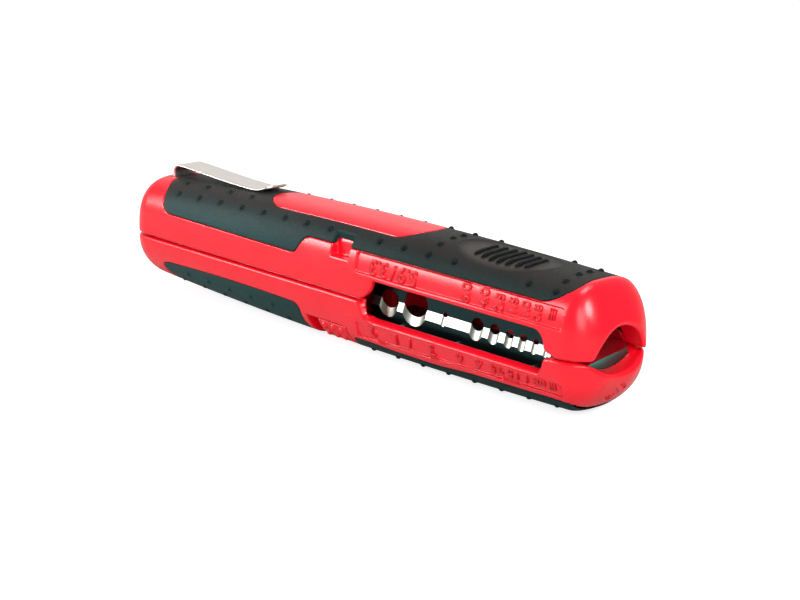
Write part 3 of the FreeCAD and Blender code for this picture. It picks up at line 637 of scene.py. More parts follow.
def pad_radius(x, y):
    """1 on the rim of the thumb pad."""
    u, v = np.abs(x - PAD_X) / PAD_HALF_LENGTH, np.abs(y - PAD_Y) / PAD_HALF_WIDTH
    return (u ** PAD_POWER + v ** PAD_POWER + 1e-9) ** (1 / PAD_POWER)


def upper_grip(x, y, z):
    surface = body(x, y, z, UPPER)
    region = upper_region(x, y, z)
    # thumb pad: a shallow dish, shallowest at its -y edge, with rounded bars across it
    from_rim = (pad_radius(x, y) - 1) * 4.8
    depth = 0.10 + 0.38 * np.clip((y + 6.0) / 4.0, 0, 1)
    dish = depth * np.clip(-from_rim / 1.1, 0, 1) ** 0.7
    bars = BAR_HEIGHT * np.clip(0.5 - bar_distance(x, y) / 0.30, 0, 1)
    grip = round_and(surface - np.where(z > 6, bars - dish, 0), region, 0.22)
    # studs, with a small moat round each
    dome = studs(x, y, z, UPPER_STUDS, UPPER_STUD_SINK)
    grip = grip + 0.07 * np.clip(1 - np.abs(dome - 0.20) / 0.20, 0, 1)
    grip = round_or(grip, np.maximum(dome, region + 0.1), 0.06)
    return carve(grip, surface + SKIN - 0.02)


def lower_grip(region_shape):
    def shape(x, y, z):
        surface = round_and(body(x, y, z, LOWER), REST_Z - z, 1.2)
        region = region_shape(x, y, z)
        grip = round_and(surface, region, 0.22)
        dome = studs(x, y, z, LOWER_STUDS, LOWER_STUD_SINK)
        grip = round_or(grip, np.maximum(dome, REST_Z + 0.02 - z), 0.14)
        grip = np.maximum(grip, np.maximum(region, REST_Z - z))
        return carve(grip, surface + SKIN - 0.02)
    return shape


# ------------------------------------------------------------------ lock slider
# Bumps on both sides: x, z, radius. Bumps underneath: every x with every y.
SLIDER_SIDE_BUMPS = ((59.3, -7.3, 0.7), (61.7, -7.3, 0.7), (64.1, -7.3, 0.7),
                     (59.4, -8.85, 0.66), (61.7, -8.85, 0.66), (63.9, -8.85, 0.66))
SLIDER_BASE_BUMPS = [(x, y) for x in (59.4, 61.7, 64.0) for y in (0.0, 2.4)]
BASE_BUMP_RADIUS = 0.6
# Arms with a hooked top on both sides: x0, x1, y0, y1, z0, z1, edge radius.
SLIDER_ARMS = ((62.9, 64.9, 3.5, 4.9, -9.6, 2.4, 0.2), (60.4, 63.2, 3.5, 4.9, 1.2, 2.4, 0.2))


def slider_bumps(x, y, z):
    ay = np.abs(y)
    power = LOWER.power
    out = np.full(np.shape(x), 9.0)
    for px, pz, radius in SLIDER_SIDE_BUMPS:
        py = other_axis(HALF_WIDTH, abs(pz) / LOWER.height, power)
        normal = np.array([0, py ** (power - 1) / HALF_WIDTH ** power,
                           pz * abs(pz) ** (power - 2) / LOWER.height ** power])
        normal /= np.linalg.norm(normal)
        cx, cy, cz = np.array([px, py, pz]) - normal * 0.22
        out = np.minimum(out, np.sqrt((x - cx) ** 2 + (ay - cy) ** 2 + (z - cz) ** 2) - radius)
    for px, py in SLIDER_BASE_BUMPS:
        ball = np.sqrt((x - px) ** 2 + (ay - py) ** 2 + (z - (REST_Z + 0.62)) ** 2)
        out = np.minimum(out, ball - BASE_BUMP_RADIUS)
    return out


def lock_slider(x, y, z):
    surface = round_and(body(x, y, z, LOWER), REST_Z + 0.3 - z, 1.0)
    limits = np.maximum(np.maximum(57.9 - x, x - 65.5), z + 6.3)
    slider = round_and(surface + 0.02, limits, 0.16)
    slider = carve(slider, surface + 1.6)
    bumps = np.maximum(slider_bumps(x, y, z), REST_Z + 0.04 - z)
    slider = round_or(slider, bumps, 0.15)
    return np.minimum(slider, boxes(x, np.abs(y), z, SLIDER_ARMS))


# ------------------------------------------------------------------ build the mouldings
SHELL_CELL = 0.30
GRIP_CELL = 0.25
SLIDER_CELL = 0.17
# Object, shape, low and high corner of its grid, cell, CAD piece it replaces, its body.
MOULDINGS = (
    ("upper_shell_moulding", upper_shell, (-0.6, -9.9, -3.6), (125.6, 9.9, 13.6),
     SHELL_CELL, "upper_shell", "upper_jaw"),
    ("lower_shell_moulding", lower_shell, (-0.6, -9.9, -11.4), (125.6, 9.9, 3.2),
     SHELL_CELL, "lower_shell", "lower_jaw"),
    ("upper_grip_overmould", upper_grip, (7.0, -9.9, 4.0), (120.5, 9.9, 14.4),
     GRIP_CELL, "upper_grip", "upper_jaw"),
    ("lower_grip_rear_overmould", lower_grip(lower_rear_region),
     (8.0, -9.9, -11.6), (54.2, 9.9, -3.2), GRIP_CELL, "lower_grip_rear", "lower_jaw"),
    ("lower_grip_front_overmould", lower_grip(lower_front_region),
     (65.4, -9.9, -11.6), (119.0, 9.9, -6.6), GRIP_CELL, "lower_grip_front", "lower_jaw"),
    ("lock_slider_moulding", lock_slider, (57.0, -9.9, -11.4), (66.4, 9.9, 3.2),
     SLIDER_CELL, "lock_slider", "lock"))
parts = {}
for name, shape, low, high, cell, replaced, rides_on in MOULDINGS:
    parts[name] = surface_mesh(name, shape, low, high, cell)
    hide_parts(replaced)
    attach(parts[name], rides_on)


def add_shade(mesh, name, values):
    attribute = mesh.attributes.new(name, "FLOAT", "POINT")
    attribute.data.foreach_set("value", values.astype(np.float32))


def shade_grip(mesh, points, sink, strongest, has_pad=False):
    """Vertex values for the grip material: painted shade on the studs and bars, and a paler
    floor of the pad.
    """
    co = np.empty(len(mesh.vertices) * 3)
    mesh.vertices.foreach_get("co", co)
    co = co.reshape(-1, 3)
    x, y, z = co[:, 0] * 1000 + MIDDLE_X, co[:, 1] * 1000, co[:, 2] * 1000 + REST_Z
    # painted shade on the studs, fading out round each one
    shade = strongest * np.clip(1 - (studs(x, y, z, points, sink) - 0.04) / 0.25, 0, 1)
    if has_pad:
        # painted shade on the pad bars
        bars = np.clip(1 - (bar_distance(x, y) + 0.02) / 0.12, 0, 1)
        shade = np.maximum(shade, bars * (z > 8))
    add_shade(mesh, "painted_shade_studs_bars", shade)
    if has_pad:
        add_shade(mesh, "pad_shade", np.clip((1 - pad_radius(x, y)) * 5.0, 0, 1) * (z > 8))


shade_grip(parts["upper_grip_overmould"].data, UPPER_STUDS, UPPER_STUD_SINK,
           strongest=0.62, has_pad=True)
for name in ("lower_grip_rear_overmould", "lower_grip_front_overmould"):
    shade_grip(parts[name].data, LOWER_STUDS, LOWER_STUD_SINK, strongest=0.25)


# ------------------------------------------------------------------ pocket clip
def smooth_mesh(name, points, faces):
    mesh = bpy.data.meshes.new(name)
    mesh.from_pydata([tuple(p) for p in to_frame(points)], [], [tuple(f) for f in faces])
    mesh.validate()
    bm = bmesh.new()
    bm.from_mesh(mesh)
    bmesh.ops.recalc_face_normals(bm, faces=bm.faces)
    bm.to_mesh(mesh)
    bm.free()
    for face in mesh.polygons:
        face.use_smooth = True
    return add_object(name, mesh)


CLIP_THICKNESS, CLIP_HALF_WIDTH = 0.45, 2.75
CLIP_EDGE_RADIUS, CLIP_TIP_RADIUS = 0.13, 1.3
CLIP_STATIONS, CLIP_ACROSS = 110, 17
# Outer face of the strip from its foot, round the bend, to the upturned tip: x, z.
CLIP_PATH = [(7.15, 8.4), (7.15, 9.5), (7.15, 10.6), (7.15, 11.5)]
CLIP_PATH += [(9.0 + 1.85 * math.cos(math.radians(a)), 11.65 + 1.85 * math.sin(math.radians(a)))
              for a in range(174, 88, -8)]
CLIP_PATH += [(11.0, 13.46), (13.7, 13.33), (17.5, 13.10), (21.8, 12.86), (26.0, 12.68),
              (30.6, 12.56), (32.2, 12.55), (33.2, 12.62), (34.0, 12.76), (35.0, 13.08),
              (36.6, 13.62)]


def pocket_clip():
    """Bent strip with a rounded tip, resampled evenly along its path."""
    path = np.array(CLIP_PATH)
    travelled = np.r_[0, np.cumsum(np.hypot(*np.diff(path, axis=0).T))]
    stations = np.linspace(0, travelled[-1], CLIP_STATIONS)
    xs = np.interp(stations, travelled, path[:, 0])
    zs = np.interp(stations, travelled, path[:, 1])
    for _ in range(4):
        xs[1:-1] = (xs[:-2] + 2 * xs[1:-1] + xs[2:]) / 4
        zs[1:-1] = (zs[:-2] + 2 * zs[1:-1] + zs[2:]) / 4
    dx, dz = np.gradient(xs), np.gradient(zs)
    length = np.hypot(dx, dz)
    nx, nz = dz / length, -dx / length       # towards the inside of the bend
    edge, tip = CLIP_EDGE_RADIUS, CLIP_TIP_RADIUS
    points, faces = [], []
    for i in range(CLIP_STATIONS):
        remaining = stations[-1] - stations[i]
        half_width = CLIP_HALF_WIDTH
        if remaining < tip:
            half_width -= tip - math.sqrt(max(tip ** 2 - (tip - remaining) ** 2, 0))
        for inner_face in (False, True):
            for k in range(CLIP_ACROSS):
                v = -1 + 2 * k / (CLIP_ACROSS - 1)
                y = (-v if inner_face else v) * half_width
                into_edge = max(abs(y) - (half_width - edge), 0)
                depth = edge - math.sqrt(max(edge * edge - into_edge * into_edge, 0))
                if inner_face:
                    depth = CLIP_THICKNESS - depth
                points.append((xs[i] + nx[i] * depth, y, zs[i] + nz[i] * depth))
    n = 2 * CLIP_ACROSS
    for i in range(CLIP_STATIONS - 1):
        for k in range(n):
            a, b = i * n + k, i * n + (k + 1) % n
            faces.append((a, b, b + n, a + n))
    for i, flip in ((0, False), (CLIP_STATIONS - 1, True)):
        for k in range(CLIP_ACROSS - 1):
            cap = (i * n + k, i * n + k + 1, i * n + n - 2 - k, i * n + n - 1 - k)
            faces.append(cap[::-1] if flip else cap)
    return smooth_mesh("pocket_clip_strip", points, faces)


clip = pocket_clip()
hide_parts("pocket_clip")
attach(clip, "clip")
parts["pocket_clip_strip"] = clip

# ------------------------------------------------------------------ opening spring
COIL_RADIUS, WIRE_RADIUS, COIL_TURNS = 3.0, 0.35, 8.0
COIL_STEPS, WIRE_SIDES = 720, 12
COIL_Z0, COIL_Z1 = -7.2 + WIRE_RADIUS, 9.1 - WIRE_RADIUS
CLOSED_SHARE, CLOSED_RISE = 0.11, 0.72       # closed end coils: share of the turns, and rise


def opening_spring():
    t = np.linspace(0, 1, COIL_STEPS)
    middle = np.clip((t - CLOSED_SHARE) / (1 - 2 * CLOSED_SHARE), 0, 1)
    last = np.clip((t - (1 - CLOSED_SHARE)) / CLOSED_SHARE, 0, 1)
    z = (COIL_Z0 + CLOSED_RISE * np.minimum(t / CLOSED_SHARE, 1)
         + (COIL_Z1 - COIL_Z0 - 2 * CLOSED_RISE) * middle + CLOSED_RISE * last)
    a = 2 * math.pi * COIL_TURNS * t
    centre = np.stack([SPRING_X + COIL_RADIUS * np.cos(a), COIL_RADIUS * np.sin(a), z], 1)
    along = np.gradient(centre, axis=0)
    along /= np.linalg.norm(along, axis=1, keepdims=True)
    outward = np.stack([np.cos(a), np.sin(a), 0 * a], 1)
    across = np.cross(along, outward)
    m = WIRE_SIDES
    lines = []
    for k in range(m):
        u = 2 * math.pi * k / m
        lines.append(centre + WIRE_RADIUS * (math.cos(u) * outward + math.sin(u) * across))
    points = np.stack(lines, 1).reshape(-1, 3)
    faces = [(i * m + k, i * m + (k + 1) % m, (i + 1) * m + (k + 1) % m, (i + 1) * m + k)
             for i in range(COIL_STEPS - 1) for k in range(m)]
    faces.append(tuple(range(m))[::-1])
    faces.append(tuple((COIL_STEPS - 1) * m + k for k in range(m)))
    return smooth_mesh("opening_spring_coil", points, faces)


spring = opening_spring()
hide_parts("opening_spring")
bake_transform(spring)
parts["opening_spring_coil"] = spring

# ------------------------------------------------------------------ raised numerals
# Upper panel: text, x, z, size, turned a quarter.
UPPER_NUMERALS = (
    ("5.9", 82.0, 6.40, 3.9, False), ("/", 78.4, 6.4, 3.6, False),
    ("3.3", 74.6, 6.40, 3.9, False), ("6.0", 96.4, 6.45, 2.9, True),
    ("4.0", 100.7, 6.45, 2.8, True), ("2.5", 104.3, 6.45, 2.6, True),
    ("1.5", 107.4, 6.45, 2.5, True), ("1.0", 110.2, 6.45, 2.4, True),
    ("0.8", 112.9, 6.45, 2.3, True), ("|||", 116.0, 6.75, 2.0, False))
# Lower panel: text, x, z, size.
LOWER_NUMERALS = (
    ("2", 73.0, -5.3, 3.3), ("1", 79.0, -5.3, 3.3), ("/", 82.6, -5.3, 3.0),
    ("3", 88.2, -5.25, 3.3), ("6", 95.0, -5.2, 2.8), ("4", 99.6, -5.15, 2.8),
    ("2.5", 103.8, -5.1, 2.3), ("1.5", 107.7, -5.05, 2.3), ("1", 110.7, -5.0, 2.3),
    ("0.8", 113.6, -5.0, 2.1), ("|||", 116.5, -5.0, 2.0))


def raised_text(name, text, size, longest_edge, embolden=0.0):
    """Text as a solid between z = 0 and 1, and its points."""
    curve = bpy.data.curves.new(name, "FONT")
    curve.body = text
    curve.size = size
    curve.align_x = "CENTER"
    curve.align_y = "CENTER"
    curve.resolution_u = 3
    curve.offset = embolden
    holder = add_object(name + "_tmp", curve)
    bpy.context.view_layer.update()
    flat = bpy.data.meshes.new_from_object(holder)
    bpy.data.objects.remove(holder)
    bm = bmesh.new()
    bm.from_mesh(flat)
    bmesh.ops.remove_doubles(bm, verts=bm.verts, dist=1e-4)
    bmesh.ops.triangulate(bm, faces=bm.faces)
    long_edges = [e for e in bm.edges if e.calc_length() > longest_edge]
    bmesh.ops.subdivide_edges(bm, edges=long_edges, cuts=1)
    bmesh.ops.triangulate(bm, faces=bm.faces)
    extruded = bmesh.ops.extrude_face_region(bm, geom=bm.faces[:])
    top = [g for g in extruded["geom"] if isinstance(g, bmesh.types.BMVert)]
    for vert in bm.verts:
        vert.co.z = 0
    for vert in top:
        vert.co.z = 1
    return bm, np.array([vert.co for vert in bm.verts])


def text_object(name, bm, points):
    """Move the text to its points and make the object."""
    for vert, point in zip(bm.verts, to_frame(points)):
        vert.co = point
    bmesh.ops.recalc_face_normals(bm, faces=bm.faces)
    mesh = bpy.data.meshes.new(name)
    bm.to_mesh(mesh)
    bm.free()
    return add_object(name, mesh)


def side_numeral(name, text, x, z, size, half, lift, depth, turned=False, sink=0.12):
    """Digits wrapped on the -y side, upside down or turned a quarter, centred on x and z."""
    bm, flat = raised_text(name, text, size, longest_edge=0.5, embolden=0.02 * size)
    bmesh.ops.recalc_face_normals(bm, faces=bm.faces)
    u, v, rise = flat.T
    u, v = (-v, u) if turned else (-u, -v)
    px, pz = x + u, z + v
    width, height = section_size(half, (px - MIDDLE_X) / MIDDLE_X)
    surface_y = other_axis(width, np.clip(np.abs(pz) / height, 0, 0.98), half.power)
    ny = (np.abs(surface_y) / width) ** (half.power - 1) / width
    nz = (np.abs(pz) / height) ** (half.power - 1) / height * np.sign(pz)
    length = np.hypot(ny, nz)
    ny, nz = ny / length, nz / length
    out = lift - sink + (depth + sink) * rise
    return text_object(name, bm, np.stack([px, -(surface_y + ny * out), pz + nz * out], 1))


def nose_numeral(name, text, centre, across, size, depth=0.14, sink=0.10):
    """Digits laid on the rounded front end of the lower jaw, along its normals."""
    bm, flat = raised_text(name, text, size, longest_edge=0.4)

    def lower_body(x, y, z):
        return body(x, y, z, LOWER)

    def normals(points):
        slope = gradient(lower_body, points, 0.05)
        return slope / np.linalg.norm(slope, axis=1, keepdims=True)

    def onto_surface(points, rounds):
        for _ in range(rounds):
            points = points - lower_body(*points.T)[:, None] * normals(points)
        return points

    origin = onto_surface(np.array([centre], float), 6)
    normal = normals(origin)[0]
    right = np.array(across, float)
    right -= normal * (right @ normal)
    right /= np.linalg.norm(right)
    up = np.cross(normal, right)
    points = onto_surface(origin + flat[:, :1] * right + flat[:, 1:2] * up, 8)
    points = points + normals(points) * (-sink + (depth + sink) * flat[:, 2:3])
    return text_object(name, bm, points)


numerals = []
for k, (text, x, z, size, turned) in enumerate(UPPER_NUMERALS):
    numerals.append(side_numeral("numeral_upper_%d" % k, text, x, z, size, UPPER,
                                 lift=-0.38, depth=0.24, turned=turned))
    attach(numerals[-1], "upper_jaw")
for k, (text, x, z, size) in enumerate(LOWER_NUMERALS):
    numerals.append(side_numeral("numeral_lower_%d" % k, text, x, z, size, LOWER,
                                 lift=-0.34, depth=0.28))
    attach(numerals[-1], "lower_jaw")
mouth_numeral = nose_numeral("numeral_mouth", "8-13", centre=(122.3, 0.9, -6.6),
                             across=(2.28, 3.6, 3.2), size=2.4)
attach(mouth_numeral, "lower_jaw")
numerals.append(mouth_numeral)


# ------------------------------------------------------------------ shader helpers
def feed(tree, sink, source):
    """Link a socket, or set a plain value."""
    if isinstance(source, bpy.types.NodeSocket):
        tree.links.new(source, sink)
    else:
        sink.default_value = source


def set_inputs(tree, target, values):
    for key, value in values.items():
        feed(tree, target.inputs[key], value)


def node(tree, kind, **settings):
    """New node; a setting that names an input feeds it, any other is a property."""
    new = tree.nodes.new(kind)
    for key, value in settings.items():
        if key in new.inputs:
            feed(tree, new.inputs[key], value)
        else:
            setattr(new, key, value)
    return new


def new_material(name):
    material = bpy.data.materials.new(name)
    material.use_nodes = True
    tree = material.node_tree
    tree.nodes.clear()
    output = tree.nodes.new("ShaderNodeOutputMaterial")
    surface = tree.nodes.new("ShaderNodeBsdfPrincipled")
    tree.links.new(surface.outputs[0], output.inputs[0])
    return material, tree, surface


def object_coords(tree, stretch=(1, 1, 1)):
    coords = tree.nodes.new("ShaderNodeTexCoord")
    return node(tree, "ShaderNodeMapping", Scale=stretch,
                Vector=coords.outputs["Object"]).outputs[0]


def noise(tree, vector, **settings):
    return node(tree, "ShaderNodeTexNoise", Vector=vector, **settings).outputs["Fac"]


def ramp(tree, factor, low, high):
    """Colour ramp between two stops, each a position and a colour."""
    new = node(tree, "ShaderNodeValToRGB", Fac=factor)
    for element, (position, color) in zip(new.color_ramp.elements, (low, high)):
        element.position = position
        element.color = color
    return new.outputs[0]


def remap(tree, value, source=(0.0, 1.0), target=(0.0, 1.0)):
    new = node(tree, "ShaderNodeMapRange")
    set_inputs(tree, new, {"From Min": source[0], "From Max": source[1],
                           "To Min": target[0], "To Max": target[1], "Value": value})
    return new.outputs[0]


def calculate(tree, operation, *terms):
    new = node(tree, "ShaderNodeMath", operation=operation)
    for sink, term in zip(new.inputs, terms):
        feed(tree, sink, term)
    return new.outputs[0]


def mix_color(tree, factor, a, b):
    new = node(tree, "ShaderNodeMix", data_type="RGBA")
    for index, value in ((0, factor), (6, a), (7, b)):   # factor and the two colour sockets
        feed(tree, new.inputs[index], value)
    return new.outputs[2]


def bump(tree, height, strength, distance):
    return node(tree, "ShaderNodeBump", Strength=strength, Distance=distance,
                Height=height).outputs[0]


def split(tree, vector):
    return node(tree, "ShaderNodeSeparateXYZ", Vector=vector).outputs


def srgb(*channels):
    """Linear colour from 0-255 display values."""
    def linear(c):
        return c / 12.92 if c <= 0.04045 else ((c + 0.055) / 1.055) ** 2.4
    return tuple(linear(c / 255) for c in channels) + (1,)


# ------------------------------------------------------------------ materials
def plastic(name, base, dark, rough, relief, grain, coat, specular=0.5):
    """Moulded plastic: broad mottling of colour and roughness, fine grain relief."""
    material, tree, surface = new_material(name)
    vector = object_coords(tree)
    mottle = noise(tree, vector, Scale=120.0, Detail=3.0)
    fine = noise(tree, vector, Scale=grain, Detail=4.0, Roughness=0.6)
    set_inputs(tree, surface, {
        "Base Color": ramp(tree, mottle, (0.25, dark), (0.75, base)),
        "Roughness": remap(tree, mottle, target=rough),
        "Normal": bump(tree, fine, strength=relief, distance=0.00012),
        "Coat Weight": coat,
        "Coat Roughness": 0.22,
        "IOR": 1.5,
        "Specular IOR Level": specular})
    return material


def soft_grip():
    """Dark rubber with painted light: a painted teal reflection on the sideways flanks, painted
    shade towards the front end and on the studs and bars, weaker highlights on the studs, and a
    paler pad floor.
    """
    material, tree, surface = new_material("black_soft_grip")
    vector = object_coords(tree)
    pores = node(tree, "ShaderNodeTexVoronoi", Scale=3600.0, Vector=vector)
    grain = noise(tree, vector, Scale=900.0, Detail=4.0)
    mottle = noise(tree, vector, Scale=60.0, Detail=2.0)
    top_color = ramp(tree, mottle, (0.3, (0.0210, 0.0180, 0.0170, 1)),
                     (0.7, (0.0270, 0.0232, 0.0218, 1)))
    normal = node(tree, "ShaderNodeNewGeometry").outputs["Normal"]
    on_flank = remap(tree, split(tree, normal)["Z"], source=(0.85, 0.22))
    # towards the front end the grip gets painted shade: a darker flank colour and weaker
    # highlights
    front_painted_shade = remap(tree, split(tree, vector)["X"], source=(-0.030, 0.020))
    flank_painted_reflection = mix_color(tree, front_painted_shade, (0.0040, 0.0400, 0.0380, 1),
                            (0.0006, 0.0175, 0.0165, 1))
    painted_stud_shade = node(tree, "ShaderNodeAttribute", attribute_name="painted_shade_studs_bars").outputs["Fac"]
    pad = node(tree, "ShaderNodeAttribute", attribute_name="pad_shade").outputs["Fac"]
    # sideways flanks get the painted teal reflection, top faces the grey-brown top colour
    color = mix_color(tree, on_flank, top_color, flank_painted_reflection)
    color = mix_color(tree, pad, color, (0.052, 0.045, 0.041, 1))
    # painted shade on the studs and pad bars
    color = mix_color(tree, painted_stud_shade, color, (0.0035, 0.0036, 0.0036, 1))
    # highlights: stronger on the flanks, weaker on the studs and towards the front
    shine = calculate(tree, "MULTIPLY", remap(tree, on_flank, target=(0.11, 0.20)),
                      calculate(tree, "MULTIPLY_ADD", painted_stud_shade, -0.55, 1.0))
    shine = calculate(tree, "MULTIPLY", shine, remap(tree, front_painted_shade, target=(1.15, 0.55)))
    relief = calculate(tree, "ADD", pores.outputs["Distance"],
                       calculate(tree, "MULTIPLY", grain, 0.6))
    set_inputs(tree, surface, {
        "Base Color": color,
        "Roughness": remap(tree, grain, target=(0.40, 0.56)),
        "Specular IOR Level": shine,
        "Specular Tint": (0.90, 1.0, 0.99, 1),
        "Sheen Weight": 0.03,
        "Sheen Roughness": 0.4,
        "Sheen Tint": (0.5, 0.85, 0.8, 1),
        "Normal": bump(tree, relief, strength=0.55, distance=0.00010)})
    return material


def steel(name, base, rough, stretch=(1, 1, 1), grain=4000.0, relief=0.15, streak=0.12,
          painted_slope_highlight=None):
    """Brushed steel; a colour given for sloping faces is a painted highlight on faces that slope
    away from the y axis.
    """
    material, tree, surface = new_material(name)
    vector = object_coords(tree, stretch)
    brushing = noise(tree, vector, Scale=grain, Detail=5.0, Roughness=0.65)
    patches = noise(tree, vector, Scale=180.0, Detail=3.0)
    dark = tuple(c * (1 - streak) for c in base[:3]) + (1,)
    color = ramp(tree, brushing, (0.35, dark), (0.65, base))
    if painted_slope_highlight:
        normal = node(tree, "ShaderNodeNewGeometry").outputs["True Normal"]
        facing_y = calculate(tree, "ABSOLUTE", split(tree, normal)["Y"])
        sloping = calculate(tree, "LESS_THAN", facing_y, 0.97)
        color = mix_color(tree, sloping, color, painted_slope_highlight)
    set_inputs(tree, surface, {
        "Base Color": color,
        "Metallic": 1.0,
        "Roughness": remap(tree, patches, target=(rough * 0.8, rough * 1.3)),
        "Normal": bump(tree, brushing, strength=relief, distance=0.00005)})
    return material


shell_red = plastic("red_shell_plastic", base=srgb(240, 16, 40), dark=srgb(233, 10, 32),
                    rough=(0.22, 0.30), relief=0.07, grain=7000.0, coat=0.06, specular=0.45)
slider_red = plastic("red_slider_plastic", base=srgb(236, 14, 37), dark=srgb(226, 9, 30),
                     rough=(0.24, 0.34), relief=0.10, grain=6500.0, coat=0.06, specular=0.45)
insert_black = plastic("black_insert_plastic", base=(0.012, 0.022, 0.024, 1),
                       dark=(0.006, 0.012, 0.014, 1), rough=(0.25, 0.42), relief=0.10,
                       grain=5000.0, coat=0.2)
grip_black = soft_grip()
clip_steel = steel("clip_brushed_steel", base=(1.0, 0.94, 0.87, 1), rough=0.34,
                   stretch=(0.06, 1, 1), grain=5000.0, relief=0.35, streak=0.10)
# strip blades: the dark teal base on their flat faces is painted shade and reflection; their
# sloping faces get a pale painted highlight
blade_steel = steel("strip_blade_steel_painted_light", base=(0.020, 0.050, 0.052, 1), rough=0.30,
                    stretch=(1, 0.1, 0.1), grain=5000.0, relief=0.2, streak=0.18,
                    painted_slope_highlight=(0.36, 0.375, 0.33, 1))
# upper cable blade: a near-black copy of the cable blade steel, painted shade
cable_steel_painted_shade = steel("cable_blade_steel_painted_shade", base=(0.030, 0.034, 0.036, 1), rough=0.34,
                         stretch=(1, 0.08, 1), grain=5000.0, relief=0.2, streak=0.15)
# lower cable blade: its teal-green base colour is a painted reflection
cable_steel = steel("cable_blade_steel", base=(0.10, 0.50, 0.40, 1), rough=0.30,
                    stretch=(1, 0.08, 1), grain=5000.0, relief=0.2, streak=0.15)
pin_steel = steel("pin_steel", base=(0.60, 0.60, 0.61, 1), rough=0.28, stretch=(1, 0.1, 1),
                  streak=0.1)
screw_zinc = steel("screw_zinc", base=(0.55, 0.56, 0.58, 1), rough=0.34, grain=3000.0,
                   relief=0.2, streak=0.15)
spring_steel = steel("spring_wire_steel", base=(0.50, 0.50, 0.51, 1), rough=0.30,
                     grain=3000.0)


def dress(ob, material, slot):
    ob.data.materials.clear()
    ob.data.materials.append(material)


for name, material, slot in (
        ("upper_shell_moulding", shell_red, "red_shell"),
        ("lower_shell_moulding", shell_red, "red_shell"),
        ("upper_grip_overmould", grip_black, "black_grip"),
        ("lower_grip_rear_overmould", grip_black, "black_grip"),
        ("lower_grip_front_overmould", grip_black, "black_grip"),
        ("lock_slider_moulding", slider_red, "red_slider"),
        ("pocket_clip_strip", clip_steel, "clip_steel"),
        ("opening_spring_coil", spring_steel, "spring_steel")):
    dress(parts[name], material, slot)

# the raised numerals are of the shell's red plastic; these darker copies of it are painted
# shade, deepest on the mouth numeral
mouth_numeral_painted_shade = plastic("red_plastic_painted_shade_mouth", base=srgb(206, 8, 30), dark=srgb(192, 6, 24),
                      rough=(0.30, 0.40), relief=0.07, grain=7000.0, coat=0.02, specular=0.35)
numeral_painted_shade_red = plastic("red_plastic_painted_shade_numerals", base=srgb(214, 9, 32), dark=srgb(202, 7, 26),
                      rough=(0.26, 0.36), relief=0.07, grain=7000.0, coat=0.04, specular=0.40)
for ob in numerals:
    dress(ob, mouth_numeral_painted_shade if ob is mouth_numeral else numeral_painted_shade_red, "red_shell")

# CAD pieces that are kept: name, material, bevel width in mm (0 for none).
for name, material, bevel_width in (
        ("lower_blade_holder", insert_black, 0.25), ("upper_blade_holder", insert_black, 0.25),
        ("lower_strip_blade", blade_steel, 0.0), ("upper_strip_blade", blade_steel, 0.0),
        ("lower_blade_screws", screw_zinc, 0.06), ("upper_blade_screws", screw_zinc, 0.06),
        ("lower_cable_blade", cable_steel, 0.03), ("upper_cable_blade", cable_steel_painted_shade, 0.03),
        ("lower_cable_screws", screw_zinc, 0.04), ("upper_cable_screws", screw_zinc, 0.04),
        ("hinge_pin", pin_steel, 0.12), ("lock_detent_spring", spring_steel, 0.03)):
    ob = cad_nodes[name]
    if len(ob.material_slots) == 0:
        ob.data.materials.append(material)
    else:
        for material_slot in ob.material_slots:
            material_slot.material = material
    if bevel_width > 0:
        bevel = ob.modifiers.new("edge", "BEVEL")
        bevel.width = bevel_width / 1000
        bevel.segments = 2
        bevel.limit_method = "ANGLE"
        bevel.angle_limit = math.radians(35)

# ------------------------------------------------------------------ floor (metres)
FLOOR_DROP = 0.0004                # below the lowest point of the CAD pieces
FLOOR_GLOW = 0.80                  # light the floor gives off, to the camera only


def floor_material():
    """Matt grey that reads as paper white to the camera, with a faint contact shadow."""
    material, tree, surface = new_material("floor_pale")
    set_inputs(tree, surface, {"Base Color": (0.50, 0.50, 0.50, 1), "Roughness": 0.9,
                               "Specular IOR Level": 0.0})
    glow = node(tree, "ShaderNodeEmission", Color=(1, 1, 1, 1), Strength=FLOOR_GLOW)
    camera_ray = node(tree, "ShaderNodeLightPath").outputs["Is Camera Ray"]
    feed(tree, glow.inputs["Strength"], calculate(tree, "MULTIPLY", camera_ray, FLOOR_GLOW))
    both = node(tree, "ShaderNodeAddShader")
    feed(tree, both.inputs[0], surface.outputs[0])
    feed(tree, both.inputs[1], glow.outputs[0])
    output = next(n for n in tree.nodes if n.type == "OUTPUT_MATERIAL")
    feed(tree, output.inputs[0], both.outputs[0])
    return material


def stage_floor():
    mesh = bpy.data.meshes.new("floor")
    bm = bmesh.new()
    z = cad_box[0][2] - FLOOR_DROP
    a, b, c, d = [bm.verts.new((x, y, z)) for y in (-1.4, 1.6) for x in (-2.0, 2.0)]
    bm.faces.new([a, b, d, c])
    bm.to_mesh(mesh)
    bm.free()
    ob = add_object("floor", mesh)
    ob.data.materials.append(floor_material())
    return ob


stage_floor()


# ------------------------------------------------------------------ world
def studio_world():
    """White surroundings, brighter behind the tool; the camera sees them at strength 1."""
    world = bpy.data.worlds.new("studio")
    bpy.context.scene.world = world
    world.use_nodes = True
    tree = world.node_tree
    background = tree.nodes["Background"]
    background.inputs[0].default_value = (1.0, 1.0, 1.0, 1)
    camera_ray = node(tree, "ShaderNodeLightPath").outputs["Is Camera Ray"]
    direction = node(tree, "ShaderNodeTexCoord").outputs["Generated"]
    backwards = node(tree, "ShaderNodeVectorMath", operation="DOT_PRODUCT")
    feed(tree, backwards.inputs[0], direction)
    feed(tree, backwards.inputs[1], (-0.74, 0.67, 0.0))      # away from the camera
    room = remap(tree, backwards.outputs["Value"], source=(0.15, 0.85), target=(0.27, 0.70))
    strength = node(tree, "ShaderNodeMix")
    for index, value in ((0, camera_ray), (2, room), (3, 1.0)):   # factor, A, B
        feed(tree, strength.inputs[index], value)
    feed(tree, background.inputs[1], strength.outputs[0])


studio_world()


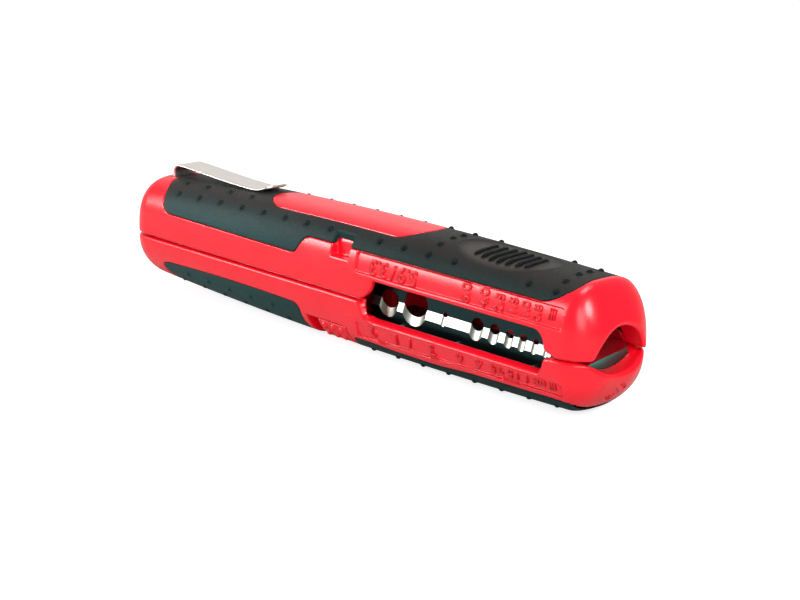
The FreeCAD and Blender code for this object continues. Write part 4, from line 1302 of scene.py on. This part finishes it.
# ------------------------------------------------------------------ lights (metres, watts)
def area_light(name, place, target, size, energy, color=(1, 1, 1)):
    light = bpy.data.lights.new(name, "AREA")
    light.energy = energy
    light.color = color
    light.size = size
    ob = add_object(name, light)
    ob.location = place
    ob.rotation_mode = "QUATERNION"
    ob.rotation_quaternion = (Vector(target) - Vector(place)).to_track_quat("-Z", "Y")


area_light("key_top", place=(0.0, 0.02, 0.62), target=(0, 0, 0.01), size=0.30, energy=2.1,
           color=(1, 0.99, 0.98))
area_light("fill_front", place=(0.48, -0.14, 0.33), target=(0.02, 0, 0.01), size=0.19,
           energy=2.3)
area_light("fill_window", place=(0.31, -0.34, 0.17), target=(0.02, 0, 0.0), size=0.22,
           energy=0.75)
area_light("key_left", place=(-0.29, -0.27, 0.135), target=(-0.01, 0, 0.005), size=0.115,
           energy=0.88)

# ------------------------------------------------------------------ camera
AZIMUTH, ELEVATION, ROLL = map(math.radians, (47.8041093, 15.1718435, 0.580268462))
CAMERA_DISTANCE = 389.035876       # mm, from the aim point
SHIFT_RIGHT, SHIFT_UP = 5.60835066, -3.22241866  # mm, aim point from the middle of the tool
LENS, SENSOR_WIDTH = 97.12574055, 36.0           # mm


def add_camera():
    level = np.array([math.cos(AZIMUTH), math.sin(AZIMUTH), 0])
    raised = np.array([-math.sin(AZIMUTH) * math.sin(ELEVATION),
                       math.cos(AZIMUTH) * math.sin(ELEVATION), math.cos(ELEVATION)])
    back = np.array([math.sin(AZIMUTH) * math.cos(ELEVATION),
                     -math.cos(AZIMUTH) * math.cos(ELEVATION), math.sin(ELEVATION)])
    right = math.cos(ROLL) * level + math.sin(ROLL) * raised
    up = -math.sin(ROLL) * level + math.cos(ROLL) * raised
    aim = np.array([MIDDLE_X, 0, 0]) + right * SHIFT_RIGHT + up * SHIFT_UP
    place = to_frame([aim + back * CAMERA_DISTANCE])[0]
    camera = bpy.data.cameras.new("camera")
    camera.lens = LENS
    camera.sensor_width = SENSOR_WIDTH
    camera.clip_start, camera.clip_end = 0.01, 20
    ob = add_object("camera", camera)
    rows = [(right[k], up[k], back[k], place[k]) for k in range(3)]
    ob.matrix_world = Matrix(rows + [(0, 0, 0, 1)])
    bpy.context.scene.camera = ob


add_camera()
bpy.context.scene.view_settings.view_transform = "Standard"
